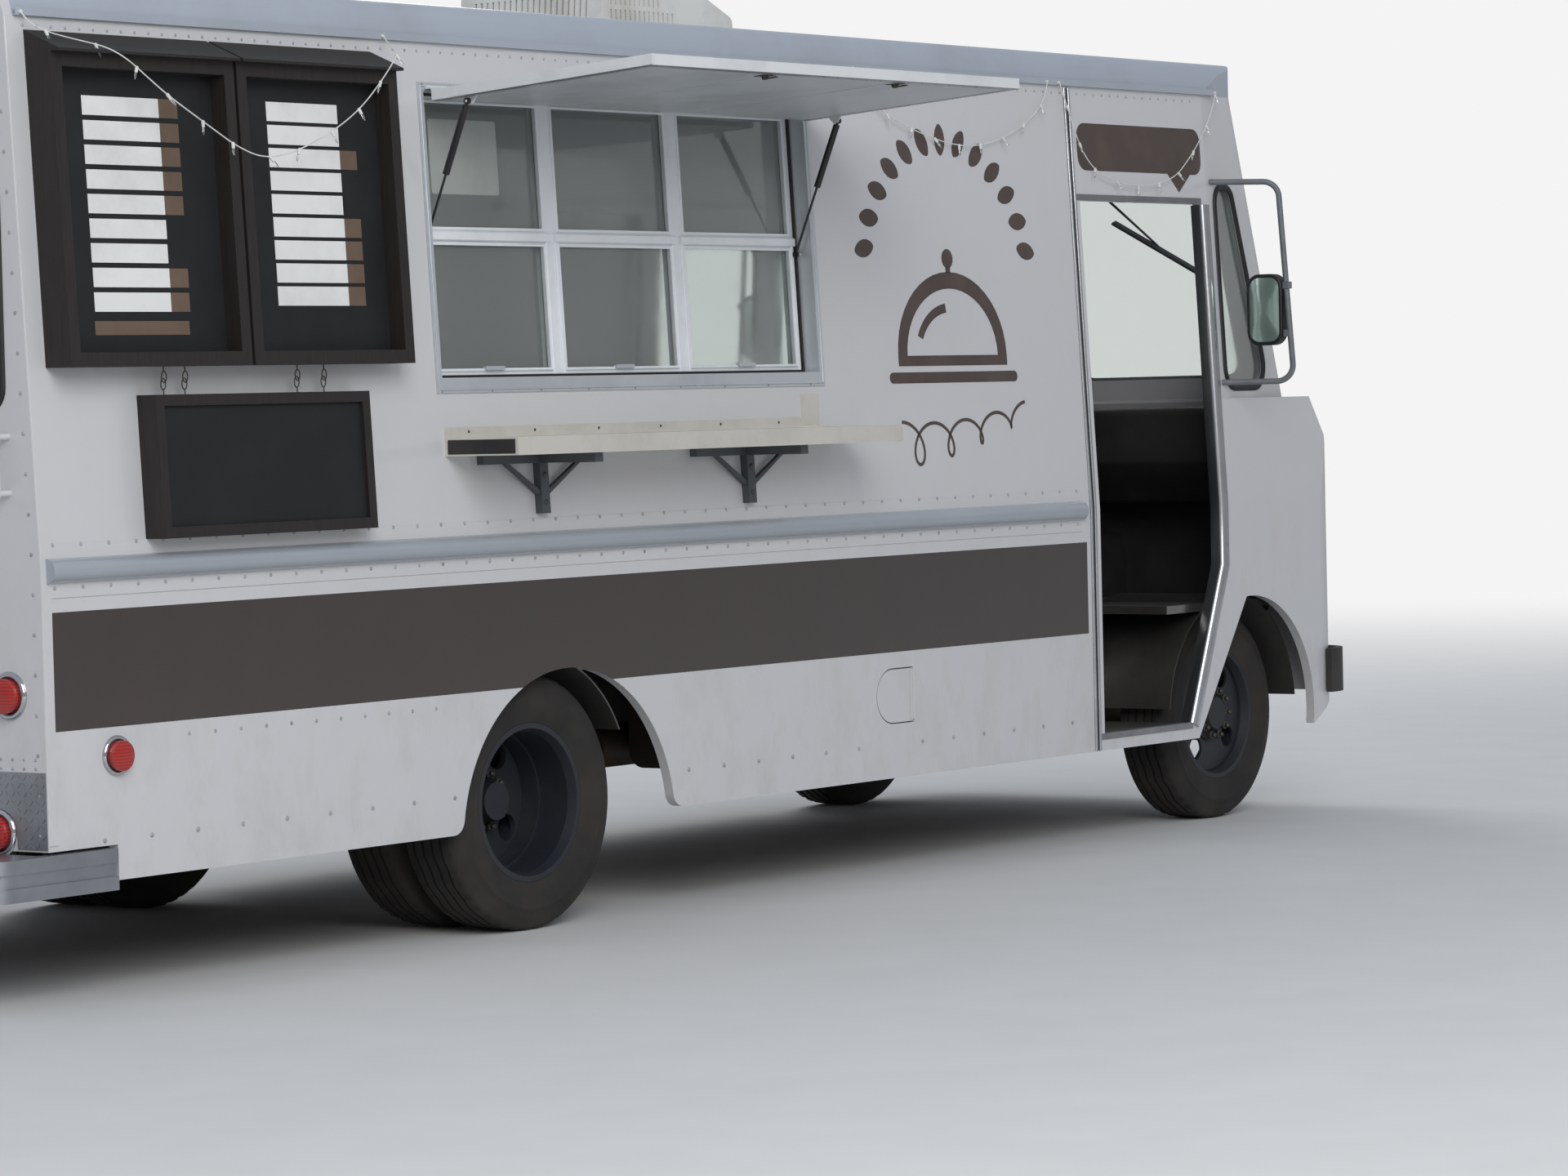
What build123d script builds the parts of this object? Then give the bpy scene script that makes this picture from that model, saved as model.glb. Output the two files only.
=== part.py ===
# Food truck: a step van body on a ladder chassis, with a serving window and awning hatch.
# All sizes are millimetres. X runs forward from the rear axle, Y to the left, Z up from the ground.
import os
from math import cos, hypot, radians, sin, tan

from build123d import *

# Wheel sizes
tyre_r, tyre_width, flange_r = 400.0, 226.0, 260.5
rim_width = 190.0
dual_spacing = 250.0
rear_outer_face = 50.0       # rear tyre's outer face, inward of the side
front_outer_face = 145.0
kingpin_inset = 62.0         # from the middle of the front tyre to the kingpin

# Chassis sizes
wheelbase = 4210.0
rail_inset = 670.0           # from the side to the outer face of a frame rail
rail_under, rail_height = 160.0, 200.0      # the rails' underside stands this far above the axle
rail_flange, rail_sheet = 65.0, 8.0
rail_rear_inset = 120.0      # from the rear wall to the rails' rear end
rail_front_reach = 510.0     # from the front axle to the rails' front end

# Body sizes
half_width = 1100.0          # centre line to the side at the belt
wall = 35.0                  # thickness of walls, roof and cab panels
rear_overhang = 2150.0       # rear axle to the outer face of the rear wall
front_overhang = 690.0       # front axle to the front face of the nose
skirt_z = 335.0
belt_z = 1210.0
seam_z = 1600.0              # joint between the lower and the upper cab
drip_z = 2743.0
tumblehome = 80.0            # how far the side leans in between belt and drip rail
edge_rise, crown_rise = 125.0, 157.0        # roof edge and crown above the drip rail
crown_edge_inset = 115.0
roof_edge_r, roof_front_r = 70.0, 110.0
gutter_out, gutter_height, gutter_sheet = 14.0, 22.0, 4.0
sill_height, floor_sheet = 40.0, 30.0

# Cab front sizes
nose_corner_r = 170.0
nose_drop = 320.0            # nose top below the seam
chin_back, chin_rise = 240.0, 135.0
cowl_depth = 200.0           # nose face back to the windscreen's foot
screen_rake = 15.9           # degrees from upright
bend_ahead = 50.0            # jamb to where the corner panel starts to turn in
bend_angle = 8.0
screen_corner_r = 100.0

# Cab door sizes
jamb_behind_axle = 210.0     # front axle back to the front edge of the door opening
door_width, jamb_sweep = 824.0, 238.0
sill_rise, knee_rise = 61.0, 583.0          # door sill above the skirt, and jamb knee above the sill
head_below_drip = 413.0
door_thickness = 32.0
door_gap = 12.0              # between the wall's inner face and the sliding door
door_travel = 800.0
door_overlap = 25.0

# Serving window sizes
window_x0, window_x1 = -420.0, 1520.0
window_height, window_below_drip = 900.0, 143.0
frame_lip, frame_proud, frame_sheet = 22.0, 4.0, 5.0
frame_sill = 25.0
frame_depth = 66.0
sash_depth, sash_bar = 40.0, 38.0

# Hatch sizes
hatch_thick = 33.0
hatch_margin = 7.0           # closed hatch's lower edge above the window frame's sill
hatch_side_gap = 6.0
hinge_above_window = 7.0
hinge_r = 6.0
hatch_tilt = 3.8             # degrees above level when open
running_gap = 0.3            # between pieces that seat on each other

# Places that follow from the sizes
sides = (("right", -1), ("left", 1))
axle_z = tyre_r
rear_x, nose_x = -rear_overhang, wheelbase + front_overhang
dual_centre = half_width - rear_outer_face - tyre_width / 2 - dual_spacing / 2
front_centre = half_width - front_outer_face - tyre_width / 2
kingpin_y = front_centre - kingpin_inset
rail_half_gap = half_width - rail_inset
rail_bottom = axle_z + rail_under
rail_top = rail_bottom + rail_height
rail_rear_x, rail_front_x = rear_x + rail_rear_inset, wheelbase + rail_front_reach
rail_middle = rail_half_gap - rail_flange / 2
floor_top = rail_top + sill_height + floor_sheet
deck_inner = half_width - wall
screen_base_x = nose_x - cowl_depth
nose_top_z = seam_z - nose_drop
jamb_x = wheelbase - jamb_behind_axle
bend_x = jamb_x + bend_ahead
door_rear_x, jamb_foot_x = jamb_x - door_width, jamb_x - jamb_sweep
door_sill_z, door_head_z = skirt_z + sill_rise, drip_z - head_below_drip
jamb_knee_z = door_sill_z + knee_rise
window_z1 = drip_z - window_below_drip
window_z0 = window_z1 - window_height
crown_z = drip_z + crown_rise


def lean(z):
    """How far the side stands inward at a height."""
    return tumblehome * max(0.0, z - belt_z) / (drip_z - belt_z)


def side_layer(side, low, high, outer, inner):
    """Outline across the truck of a layer between two depths below one side's surface."""
    heights = [low] + ([belt_z] if low < belt_z < high else []) + [high]
    face = [(side * (half_width - lean(z) - outer), z) for z in heights]
    back = [(side * (half_width - lean(z) - inner), z) for z in reversed(heights)]
    return face + back


def leaning_slab(side, x0, x1, low, high, outer, inner, mode=Mode.ADD):
    """Adds a slab that follows one side's lean between two depths below its surface."""
    with BuildSketch(Plane.YZ.offset(x0)) as layer:
        Polygon(*side_layer(side, low, high, outer, inner), align=None)
    extrude(layer.sketch, amount=x1 - x0, mode=mode)


def cut_through(outline, y0, y1, mode=Mode.SUBTRACT):
    """Extrudes an outline seen from the side between two places across the truck, to cut with it."""
    with BuildSketch(Plane.XZ.offset(-y1)) as shape:
        Polygon(*outline, align=None)
    extrude(shape.sketch, amount=y1 - y0, mode=mode)


def screen_x(z):
    """Front of the windscreen surround at a height."""
    return screen_base_x - (z - seam_z) * tan(radians(screen_rake))


def cab_plan(z, inset):
    """Corner points of the upper cab's plan at a height, and the radius at each."""
    front = screen_x(z) - inset
    side_y = half_width - lean(z) - inset
    corner_y = side_y - (front - bend_x) * tan(radians(bend_angle))
    right = [(door_rear_x, -side_y), (bend_x, -side_y), (front, -corner_y)]
    points = right + [(x, -y) for x, y in reversed(right)]
    corner = screen_corner_r - inset / 2
    return points, [0, 0, corner, corner, 0, 0]


def rounded_outline(points, radii):
    """Closed outline through points, each corner rounded to its radius, in the current line context."""
    corners = []
    for before, here, after, radius in zip(points[-1:] + points[:-1], points, points[1:] + points[:1], radii):
        here = Vector(*here)
        back = (Vector(*before) - here).normalized()
        ahead = (Vector(*after) - here).normalized()
        half = radians(back.get_angle(ahead)) / 2
        middle = here + (back + ahead).normalized() * (radius / sin(half) - radius) if radius else here
        corners.append((here + back * (radius / tan(half)), middle, here + ahead * (radius / tan(half)), radius))
    for corner, following in zip(corners, corners[1:] + corners[:1]):
        if corner[3]:
            ThreePointArc(*corner[:3])
        Line(corner[2], following[0])


door_corners = [(jamb_foot_x, door_sill_z), (jamb_x, jamb_knee_z), (jamb_x, door_head_z)]
doorway = [(door_rear_x - 10, door_sill_z), *door_corners, (door_rear_x - 10, door_head_z)]
full_width = (-half_width - 10, half_width + 10)

os.makedirs("parts", exist_ok=True)
pieces = {}

# Ladder frame: two channels, cross-members between them and sills on top
cross_members = (rear_x + 250, -750.0, 750.0, wheelbase - 2310, wheelbase - 1210)
cross_width, cross_height, cross_drop = 60.0, 70.0, 50.0
floor_sills = (rear_x + 200, -1300.0, -650.0, 650.0, 1300.0, 1950.0, door_rear_x - 576, door_rear_x - 76)
sill_width = 50.0
sill_reach = half_width - 100
with BuildPart() as frame_rails:
    for name, side in sides:
        with BuildSketch(Plane.YZ.offset(rail_rear_x)):
            with Locations((side * rail_middle, rail_bottom + rail_height / 2)):
                Rectangle(rail_flange, rail_height)
            with Locations((side * (rail_middle - rail_sheet), rail_bottom + rail_height / 2)):
                Rectangle(rail_flange, rail_height - 2 * rail_sheet, mode=Mode.SUBTRACT)
        extrude(amount=rail_front_x - rail_rear_x)
    with Locations(*[(x, 0, rail_top - cross_drop) for x in cross_members]):
        Box(cross_width, 2 * (rail_half_gap - rail_sheet), cross_height)
    with Locations(*[(x, 0, rail_top + sill_height / 2) for x in floor_sills]):
        Box(sill_width, 2 * sill_reach, sill_height)
pieces["frame_rails"] = frame_rails

# Rear axle: banjo housing, tubes and hub spindles, with the drive shaft to the gearbox
spindle_r, tube_r, banjo_r = 45.0, 62.0, 165.0
spindle_beyond, tube_short = 60.0, 190.0
shaft_r, shaft_start_x, shaft_rise = 38.0, 140.0, 20.0
shaft_end_x, shaft_end_z = wheelbase - 710, rail_bottom + 80
shaft_run = (shaft_end_x - shaft_start_x, 0, shaft_end_z - axle_z - shaft_rise)
with BuildPart() as rear_axle:
    for radius, reach in ((spindle_r, dual_centre + spindle_beyond), (tube_r, dual_centre - tube_short)):
        with BuildSketch(Plane.XZ.offset(-reach)):
            with Locations((0, axle_z)):
                Circle(radius)
        extrude(amount=2 * reach)
    with Locations((0, 0, axle_z)):
        Sphere(banjo_r)
    with BuildSketch(Plane((shaft_start_x, 0, axle_z + shaft_rise), x_dir=(0, 1, 0), z_dir=shaft_run)):
        Circle(shaft_r)
    extrude(amount=hypot(shaft_run[0], shaft_run[2]) - 6)
pieces["rear_axle"] = rear_axle

# Front axle: a dropped beam between the kingpins
beam_z, beam_half_height, beam_width = axle_z - 70, 40.0, 64.0
beam_level, beam_drop = kingpin_y - 60, kingpin_y - 220
kingpin_r, boss_r = 15.0, 36.0
beam_side = [(kingpin_y, axle_z - beam_half_height), (beam_level, axle_z - beam_half_height),
             (beam_drop, beam_z - beam_half_height)]
beam_top = [(beam_drop, beam_z + beam_half_height), (beam_level, axle_z + beam_half_height),
            (kingpin_y, axle_z + beam_half_height)]
with BuildPart() as front_axle:
    with BuildSketch(Plane.YZ.offset(wheelbase - beam_width / 2)):
        Polygon(*beam_side, *[(-y, z) for y, z in reversed(beam_side)], *[(-y, z) for y, z in reversed(beam_top)],
                *beam_top, align=None)
    extrude(amount=beam_width)
    for radius, half_height in ((boss_r, beam_half_height), (kingpin_r, 75.0)):
        with BuildSketch(Plane.XY.offset(axle_z - half_height)):
            with Locations((wheelbase, -kingpin_y), (wheelbase, kingpin_y)):
                Circle(radius)
        extrude(amount=2 * half_height)
pieces["front_axle"] = front_axle

# Leaf springs: a curved pack of leaves under each rail, on its axle, with a hanger at each end
spring_y, spring_width, leaf = rail_half_gap + 40, 70.0, 11.0
leaf_shares = (1.0, 0.8, 0.6, 0.4)
clamp_length, hanger_length, hanger_sheet = 110.0, 60.0, 8.4
spring_table = ((0.0, axle_z + tube_r, 640.0), (wheelbase, beam_z + beam_half_height, 470.0))
with BuildPart() as leaf_springs:
    for x, seat, spring_half in spring_table:
        pack = len(leaf_shares) * leaf
        arch = rail_bottom - 20 - seat - pack
        for name, side in sides:
            for count, share in enumerate(leaf_shares):
                half = spring_half * share
                low = seat + pack - (count + 1) * leaf
                high = low + arch * share ** 2
                with BuildSketch(Plane.XZ.offset(-side * spring_y - spring_width / 2)):
                    with BuildLine():
                        ThreePointArc((x - half, high), (x, low), (x + half, high))
                        Line((x + half, high), (x + half, high + leaf))
                        ThreePointArc((x + half, high + leaf), (x, low + leaf), (x - half, high + leaf))
                        Line((x - half, high + leaf), (x - half, high))
                    make_face()
                extrude(amount=spring_width)
            with Locations((x, side * spring_y, seat + pack / 2)):
                Box(clamp_length, spring_width, pack)
            for end in (-1, 1):
                with Locations((x + end * spring_half, side * spring_y, rail_bottom - 25)):
                    Box(hanger_length, spring_width, 50)
                with Locations((x + end * spring_half, side * (rail_half_gap + hanger_sheet / 2 + running_gap),
                                rail_bottom + 30)):
                    Box(hanger_length, hanger_sheet, 160)
pieces["leaf_springs"] = leaf_springs

# Engine with gearbox as plain blocks, and the radiator ahead of it on the rails
engine_half = rail_half_gap - rail_flange - 105
engine_x0, engine_x1 = wheelbase - 440, wheelbase + 360
engine_z1 = rail_top + 280
gearbox_width, gearbox_height = 300.0, 260.0
foot_z, foot_length, foot_height = rail_bottom + 80, 120.0, 60.0
radiator_x, radiator_depth, radiator_height = wheelbase + 470, 60.0, 360.0
with BuildPart() as engine:
    with Locations(((engine_x0 + engine_x1) / 2, 0, (rail_bottom + engine_z1) / 2)):
        Box(engine_x1 - engine_x0, 2 * engine_half, engine_z1 - rail_bottom)
    with Locations(((engine_x0 + shaft_end_x) / 2, 0, shaft_end_z)):
        Box(engine_x0 - shaft_end_x, gearbox_width, gearbox_height)
    for name, side in sides:
        with Locations(((engine_x0 + engine_x1) / 2, side * (engine_half + rail_half_gap - rail_sheet) / 2, foot_z)):
            Box(foot_length, rail_half_gap - rail_sheet - engine_half, foot_height)
    with Locations((radiator_x, 0, rail_top + radiator_height / 2)):
        Box(radiator_depth, 2 * rail_half_gap - 60, radiator_height)
pieces["engine"] = engine

# Exhaust: one pipe from the engine over the rear axle, with a silencer, hung from the right rail
exhaust_y, exhaust_z, pipe_r = 180.0 - rail_half_gap, axle_z + 80, 27.0
over_axle_z = axle_z + 220
exhaust_x0, exhaust_x1 = rear_x + 100, wheelbase - 910
exhaust_route = [(exhaust_x1, exhaust_z), (1000, exhaust_z), (380, over_axle_z), (-300, over_axle_z),
                 (-700, exhaust_z), (exhaust_x0, axle_z)]
silencer_x, silencer_length, silencer_radii = 1150.0, 700.0, (150.0, 90.0)
hanger_xs, hanger_rod = (800.0, wheelbase - 1610), 20.0
with BuildPart() as exhaust:
    with BuildLine():
        FilletPolyline(*[(x, exhaust_y, z) for x, z in exhaust_route], radius=120)
    with BuildSketch(Plane((exhaust_x1, exhaust_y, exhaust_z), z_dir=(-1, 0, 0))):
        Circle(pipe_r)
    sweep()
    with BuildSketch(Plane.YZ.offset(silencer_x)):
        with Locations((exhaust_y, exhaust_z)):
            Ellipse(*silencer_radii)
    extrude(amount=silencer_length)
    for x in hanger_xs:
        with Locations((x, exhaust_y, (exhaust_z + rail_bottom) / 2)):
            Box(hanger_rod, hanger_rod, rail_bottom - exhaust_z)
        with Locations((x, exhaust_y - 65, rail_bottom - 5)):
            Box(hanger_rod, 150, 10)
pieces["exhaust"] = exhaust

# Fuel tank beside the right rail
tank_x0, tank_length, tank_width, tank_height = 1250.0, 900.0, 480.0, 320.0
with BuildPart() as fuel_tank:
    with BuildSketch(Plane.YZ.offset(tank_x0)):
        with Locations((-(rail_half_gap + tank_width / 2), rail_bottom)):
            RectangleRounded(tank_width, tank_height, 60)
    extrude(amount=tank_length)
pieces["fuel_tank"] = fuel_tank

# Floor: load deck, cab deck, step wells and wheel houses in one welded pan
pocket_x0, pocket_y = door_rear_x - door_travel - 60, half_width - 88
well_y, well_x1 = half_width - 460, jamb_foot_x - 12
well_sheet, house_sheet = 30.0, 6.0
cab_deck_front = screen_base_x - 60
bay_x0, bay_half = engine_x0 - 50, engine_half + 20
rear_house_y, rear_house_r, rear_house_low = dual_centre - 277, 455.0, axle_z + 200
front_house_y, front_arch_r, front_house_low = kingpin_y - 260, 450.0, axle_z + 45
deck_half = [(rear_x + wall, deck_inner), (pocket_x0, deck_inner), (pocket_x0, pocket_y), (door_rear_x, pocket_y),
             (door_rear_x, well_y), (well_x1, well_y), (well_x1, pocket_y), (cab_deck_front, pocket_y)]
house_table = ((0.0, rear_house_r, rear_house_y, deck_inner, rear_house_low),
               (wheelbase, front_arch_r, front_house_y, pocket_y, front_house_low))
with BuildPart() as floor:
    with BuildSketch(Plane.XY.offset(floor_top - floor_sheet)):
        Polygon(*[(x, -y) for x, y in deck_half], *reversed(deck_half), align=None)
    extrude(amount=floor_sheet)
    with Locations(((cab_deck_front + bay_x0) / 2, 0, floor_top - floor_sheet / 2)):
        Box(cab_deck_front - bay_x0, 2 * bay_half, floor_sheet + 2, mode=Mode.SUBTRACT)
    for name, side in sides:
        riser_z = (door_sill_z - well_sheet + floor_top) / 2
        riser_height = floor_top - door_sill_z + well_sheet
        with Locations(((door_rear_x + well_x1) / 2, side * (well_y + deck_inner) / 2, door_sill_z - well_sheet / 2)):
            Box(well_x1 - door_rear_x, deck_inner - well_y, well_sheet)
        with Locations(((door_rear_x + well_x1) / 2, side * (well_y + house_sheet / 2), riser_z)):
            Box(well_x1 - door_rear_x, house_sheet, riser_height)
        with Locations((door_rear_x + house_sheet / 2, side * (well_y + pocket_y) / 2, riser_z)):
            Box(house_sheet, pocket_y - well_y, riser_height)
    for x, radius, y0, y1, low in house_table:
        for name, side in sides:
            with BuildSketch(Plane.XZ.offset(min(-side * y0, -side * y1))):
                with Locations((x, axle_z)):
                    Circle(radius + house_sheet)
                with Locations((x, low - radius)):
                    Rectangle(3 * radius, 2 * radius, mode=Mode.SUBTRACT)
            extrude(amount=y1 - y0)
            with BuildSketch(Plane.XZ.offset(min(-side * (y0 + house_sheet), -side * (y1 + house_sheet)))):
                with Locations((x, axle_z)):
                    Circle(radius)
            extrude(amount=y1 - y0, mode=Mode.SUBTRACT)
pieces["floor"] = floor

# Fuel filler place: a D-shaped recess in the right wall with the filler cap at its back
fuel_x0, fuel_x1, fuel_z0, fuel_z1 = 1764.0, 1980.0, 520.0, 710.0
fuel_recess, fuel_gap = 27.0, 4.0
cap_r, cap_height = 38.0, 15.0


def fuel_outline(inset):
    """D-shaped outline of the fuel recess or its flap, in the current line context."""
    low, high = fuel_z0 + inset, fuel_z1 - inset
    front, rear = fuel_x1 - inset, fuel_x0 + inset
    bend = rear + (high - low) / 2
    Polyline((bend, low), (front, low), (front, high), (bend, high))
    ThreePointArc((bend, high), (rear, (low + high) / 2), (bend, low))


# Side walls: leaning above the belt, with the rear wheel arch and a rear notch for the bumper
notch_x, notch_z = rear_x + 270, skirt_z + 100
rear_arch_x, rear_arch_z, rear_arch_r = 122.0, axle_z - 108, 522.0
arch_corner_r = 50.0
track_z = door_head_z + door_overlap + 10
track_height, track_depth = 34.0, door_gap + door_thickness
for name, side in sides:
    with BuildPart() as side_wall:
        leaning_slab(side, rear_x + wall, door_rear_x, skirt_z, drip_z, 0, wall)
        leaning_slab(side, pocket_x0, door_rear_x, track_z, track_z + track_height, wall, wall + track_depth)
        with BuildSketch(Plane.XZ) as arch_cut:
            with Locations((rear_arch_x, rear_arch_z)):
                Circle(rear_arch_r)
            with Locations((rear_arch_x, skirt_z - 200)):
                Rectangle(3 * rear_arch_r, 400)
            meeting = [v for v in arch_cut.vertices()
                       if abs(v.Y - skirt_z) < 1 and abs(v.X - rear_arch_x) < rear_arch_r + 1]
            fillet(meeting, arch_corner_r)
            with Locations(((notch_x + rear_x) / 2 - 50, (notch_z + skirt_z) / 2 - 50)):
                Rectangle(notch_x - rear_x + 100, notch_z - skirt_z + 100)
        extrude(amount=-side * (half_width + 10), mode=Mode.SUBTRACT)
        if side < 0:
            opening = [(window_x0, window_z0), (window_x1, window_z0), (window_x1, window_z1), (window_x0, window_z1)]
            cut_through(opening, -half_width - 10, 0)
            with BuildSketch(Plane.XZ.offset(half_width - fuel_recess)):
                with BuildLine():
                    fuel_outline(0)
                make_face()
            extrude(amount=fuel_recess, mode=Mode.SUBTRACT)
            with BuildSketch(Plane.XZ.offset(half_width - fuel_recess)):
                with Locations(((fuel_x0 + fuel_x1) / 2, (fuel_z0 + fuel_z1) / 2)):
                    Circle(cap_r)
            extrude(amount=cap_height)
    pieces["side_wall_" + name] = side_wall

# Rear wall: fixed panels with a window and a grab handle each side of the double doors
corner_window_y1, corner_window_width = half_width - 126, 284.0
corner_window_z0, corner_window_z1 = drip_z - 1083, drip_z - 443
pane_corner_r = 60.0
rear_door_half = corner_window_y1 - corner_window_width - 70
rear_door_z0, rear_door_z1 = floor_top, drip_z - 293
grab_y, grab_z, grab_length, grab_out, grab_r = half_width - 110, 1505.0, 156.0, 45.0, 9.0
corner_window_y = corner_window_y1 - corner_window_width / 2
body_side = [(half_width, notch_z), (half_width, belt_z), (half_width - tumblehome, drip_z),
             (half_width - crown_edge_inset, drip_z + edge_rise)]
with BuildPart() as rear_wall:
    with BuildSketch(Plane.YZ.offset(rear_x)):
        with BuildLine():
            rounded_outline([(-y, z) for y, z in body_side] + [(0, crown_z)] + body_side[::-1],
                            [0, 0, 0, roof_edge_r, 0, roof_edge_r, 0, 0, 0])
        make_face()
        with Locations((0, (rear_door_z0 + rear_door_z1) / 2)):
            Rectangle(2 * rear_door_half, rear_door_z1 - rear_door_z0, mode=Mode.SUBTRACT)
        with Locations(*[(side * corner_window_y, (corner_window_z0 + corner_window_z1) / 2) for name, side in sides]):
            RectangleRounded(corner_window_width, corner_window_z1 - corner_window_z0, pane_corner_r,
                             mode=Mode.SUBTRACT)
    extrude(amount=wall)
    for name, side in sides:
        with BuildSketch(Plane.YZ.offset(rear_x)):
            with GridLocations(0, grab_length, 1, 2):
                with Locations((side * grab_y, grab_z)):
                    Circle(grab_r)
        extrude(amount=-grab_out)
        with BuildSketch(Plane.XY.offset(grab_z - grab_length / 2 - grab_r)):
            with Locations((rear_x - grab_out, side * grab_y)):
                Circle(grab_r)
        extrude(amount=grab_length + 2 * grab_r)
pieces["rear_wall"] = rear_wall

# Roof: crowned shell with rounded edges, a rounded closed front and a drip gutter along each side
roof_front_x, roof_front_top, cut_clear = screen_x(drip_z), crown_z + 5, 20.0
roof_side = body_side[2:]
gutter_front_x, gutter_root = jamb_x + 146, 20.0
eave_y = half_width - tumblehome
gutter_section = [(eave_y - gutter_root, drip_z), (eave_y + gutter_out, drip_z),
                  (eave_y + gutter_out, drip_z + gutter_height),
                  (eave_y + gutter_out - gutter_sheet, drip_z + gutter_height),
                  (eave_y + gutter_out - gutter_sheet, drip_z + gutter_sheet), (eave_y - gutter_root, drip_z + gutter_sheet)]
hollow_half = [(y - wall, z - (wall if z > drip_z else 0)) for y, z in roof_side]
with BuildPart() as roof:
    with BuildSketch(Plane.YZ.offset(rear_x + wall)):
        with BuildLine():
            rounded_outline([(-y, z) for y, z in roof_side] + [(0, crown_z)] + roof_side[::-1],
                            [0, roof_edge_r, 0, roof_edge_r, 0])
        make_face()
    extrude(amount=roof_front_x - rear_x - wall + cut_clear)
    with BuildSketch(Plane.XZ.offset(-half_width)):
        with BuildLine():
            rounded_outline([(rear_x, drip_z - 1), (roof_front_x, drip_z - 1), (roof_front_x, roof_front_top),
                             (rear_x, roof_front_top)], [0, 0, roof_front_r, 0])
        make_face()
    extrude(amount=2 * half_width, mode=Mode.INTERSECT)
    with BuildSketch(Plane.XY.offset(drip_z - 1)):
        with BuildLine():
            points, radii = cab_plan(drip_z, 0)
            rounded_outline([(rear_x, points[0][1])] + points[1:-1] + [(rear_x, points[-1][1])], radii)
        make_face()
    extrude(amount=crown_rise + cut_clear, mode=Mode.INTERSECT)
    with BuildSketch(Plane.YZ.offset(rear_x)):
        Polygon(*[(-y, z) for y, z in hollow_half], (0, crown_z - wall), *hollow_half[::-1], align=None)
    extrude(amount=roof_front_x - roof_front_r - rear_x, mode=Mode.SUBTRACT)
    for name, side in sides:
        with BuildSketch(Plane.YZ.offset(rear_x + wall)):
            Polygon(*[(side * y, z) for y, z in gutter_section], align=None)
        extrude(amount=gutter_front_x - rear_x - wall)
pieces["roof"] = roof

# Upper cab: windscreen surround, corner panels and door headers, lofted from the seam to the drip rail
pane_z0, pane_z1 = seam_z + 80, drip_z - 183
pane_y0, pane_y1 = 45.0, half_width - 300
screen_pane_r = 70.0
quarter_x0 = jamb_x + 110
quarter_top, quarter_foot = (quarter_x0 + 152, drip_z - 343), (quarter_x0 + 395, seam_z + 40)
quarter_points = [(quarter_x0, quarter_top[1]), quarter_top, quarter_foot, (quarter_x0, quarter_foot[1])]
quarter_radii = [70, 60, 90, 80]


def lofted_plan(inset, z0=seam_z, z1=drip_z, rear_shift=0.0):
    """Lofts the upper cab's plan between two heights, inset from its surface."""
    plans = []
    for z in (z0, z1):
        points, radii = cab_plan(z, inset)
        points[0] = (door_rear_x - rear_shift, points[0][1])
        points[-1] = (door_rear_x - rear_shift, points[-1][1])
        with BuildSketch(Plane.XY.offset(z)) as plan:
            with BuildLine():
                rounded_outline(points, radii)
            make_face()
        plans.append(plan.sketch)
    loft(plans)


def quarter_cut(mode):
    """Cuts or keeps the two quarter windows' openings."""
    with BuildSketch(Plane.XZ.offset(full_width[0])) as shape:
        with BuildLine():
            rounded_outline(quarter_points, quarter_radii)
        make_face()
    extrude(shape.sketch, amount=full_width[1] - full_width[0], mode=mode)


def screen_cut(mode):
    """Cuts or keeps the two windscreen openings."""
    with BuildSketch(Plane.YZ.offset(bend_x + 150)) as shape:
        with Locations(*[(side * (pane_y0 + pane_y1) / 2, (pane_z0 + pane_z1) / 2) for name, side in sides]):
            RectangleRounded(pane_y1 - pane_y0, pane_z1 - pane_z0, screen_pane_r)
    extrude(shape.sketch, amount=nose_x - bend_x, mode=mode)


with BuildPart() as cab_hollow:
    lofted_plan(wall, seam_z - 50, drip_z + 50, 50.0)

with BuildPart() as cab_upper:
    lofted_plan(0)
    add(cab_hollow.part, mode=Mode.SUBTRACT)
    for name, side in sides:
        leaning_slab(side, door_rear_x, jamb_x + door_overlap, track_z, track_z + track_height,
                     wall, wall + track_depth)
    cut_through(doorway, *full_width)
    quarter_cut(Mode.SUBTRACT)
    screen_cut(Mode.SUBTRACT)
pieces["cab_upper"] = cab_upper

# Lower cab: nose, cowl, door surrounds below the seam and the front wheel arches
arch_line = [(wheelbase - 483, 200), (wheelbase + 15, 915)]
front_arch_lip = 15.0
grille_half, grille_z0, grille_z1, grille_corner_r = half_width - 600, nose_top_z - 500, nose_top_z - 130, 40.0
lamp_y, lamp_z, lamp_r = half_width - 360, nose_top_z - 320, 90.0
turn_z, turn_r = nose_top_z - 490, 45.0
bumper_mount_z, mount_notch = 590.0, 62.0
cowl_fall = 12.0


def nose_side(back_x, low, thick):
    """Outline of the nose seen from the side, with its walls this thick."""
    chin = [(nose_x - chin_back, low), (nose_x, low + chin_rise)] if thick == 0 else [(nose_x - thick, low)]
    fall = cowl_fall if thick else 0.0
    cowl_x = screen_base_x - thick
    return [(back_x, low), *chin, (nose_x - thick, nose_top_z - fall), (cowl_x, seam_z - fall),
            (cowl_x, seam_z + 100 * bool(thick)), (back_x, seam_z + 100 * bool(thick))]


def nose_across(low, thick):
    """Outline of the lower cab across the truck, with its walls this thick."""
    top = seam_z + 100 * bool(thick)
    half = [(half_width - thick, low), (half_width - thick, belt_z), (half_width - thick - lean(top), top)]
    return half + [(-y, z) for y, z in reversed(half)]


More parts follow.
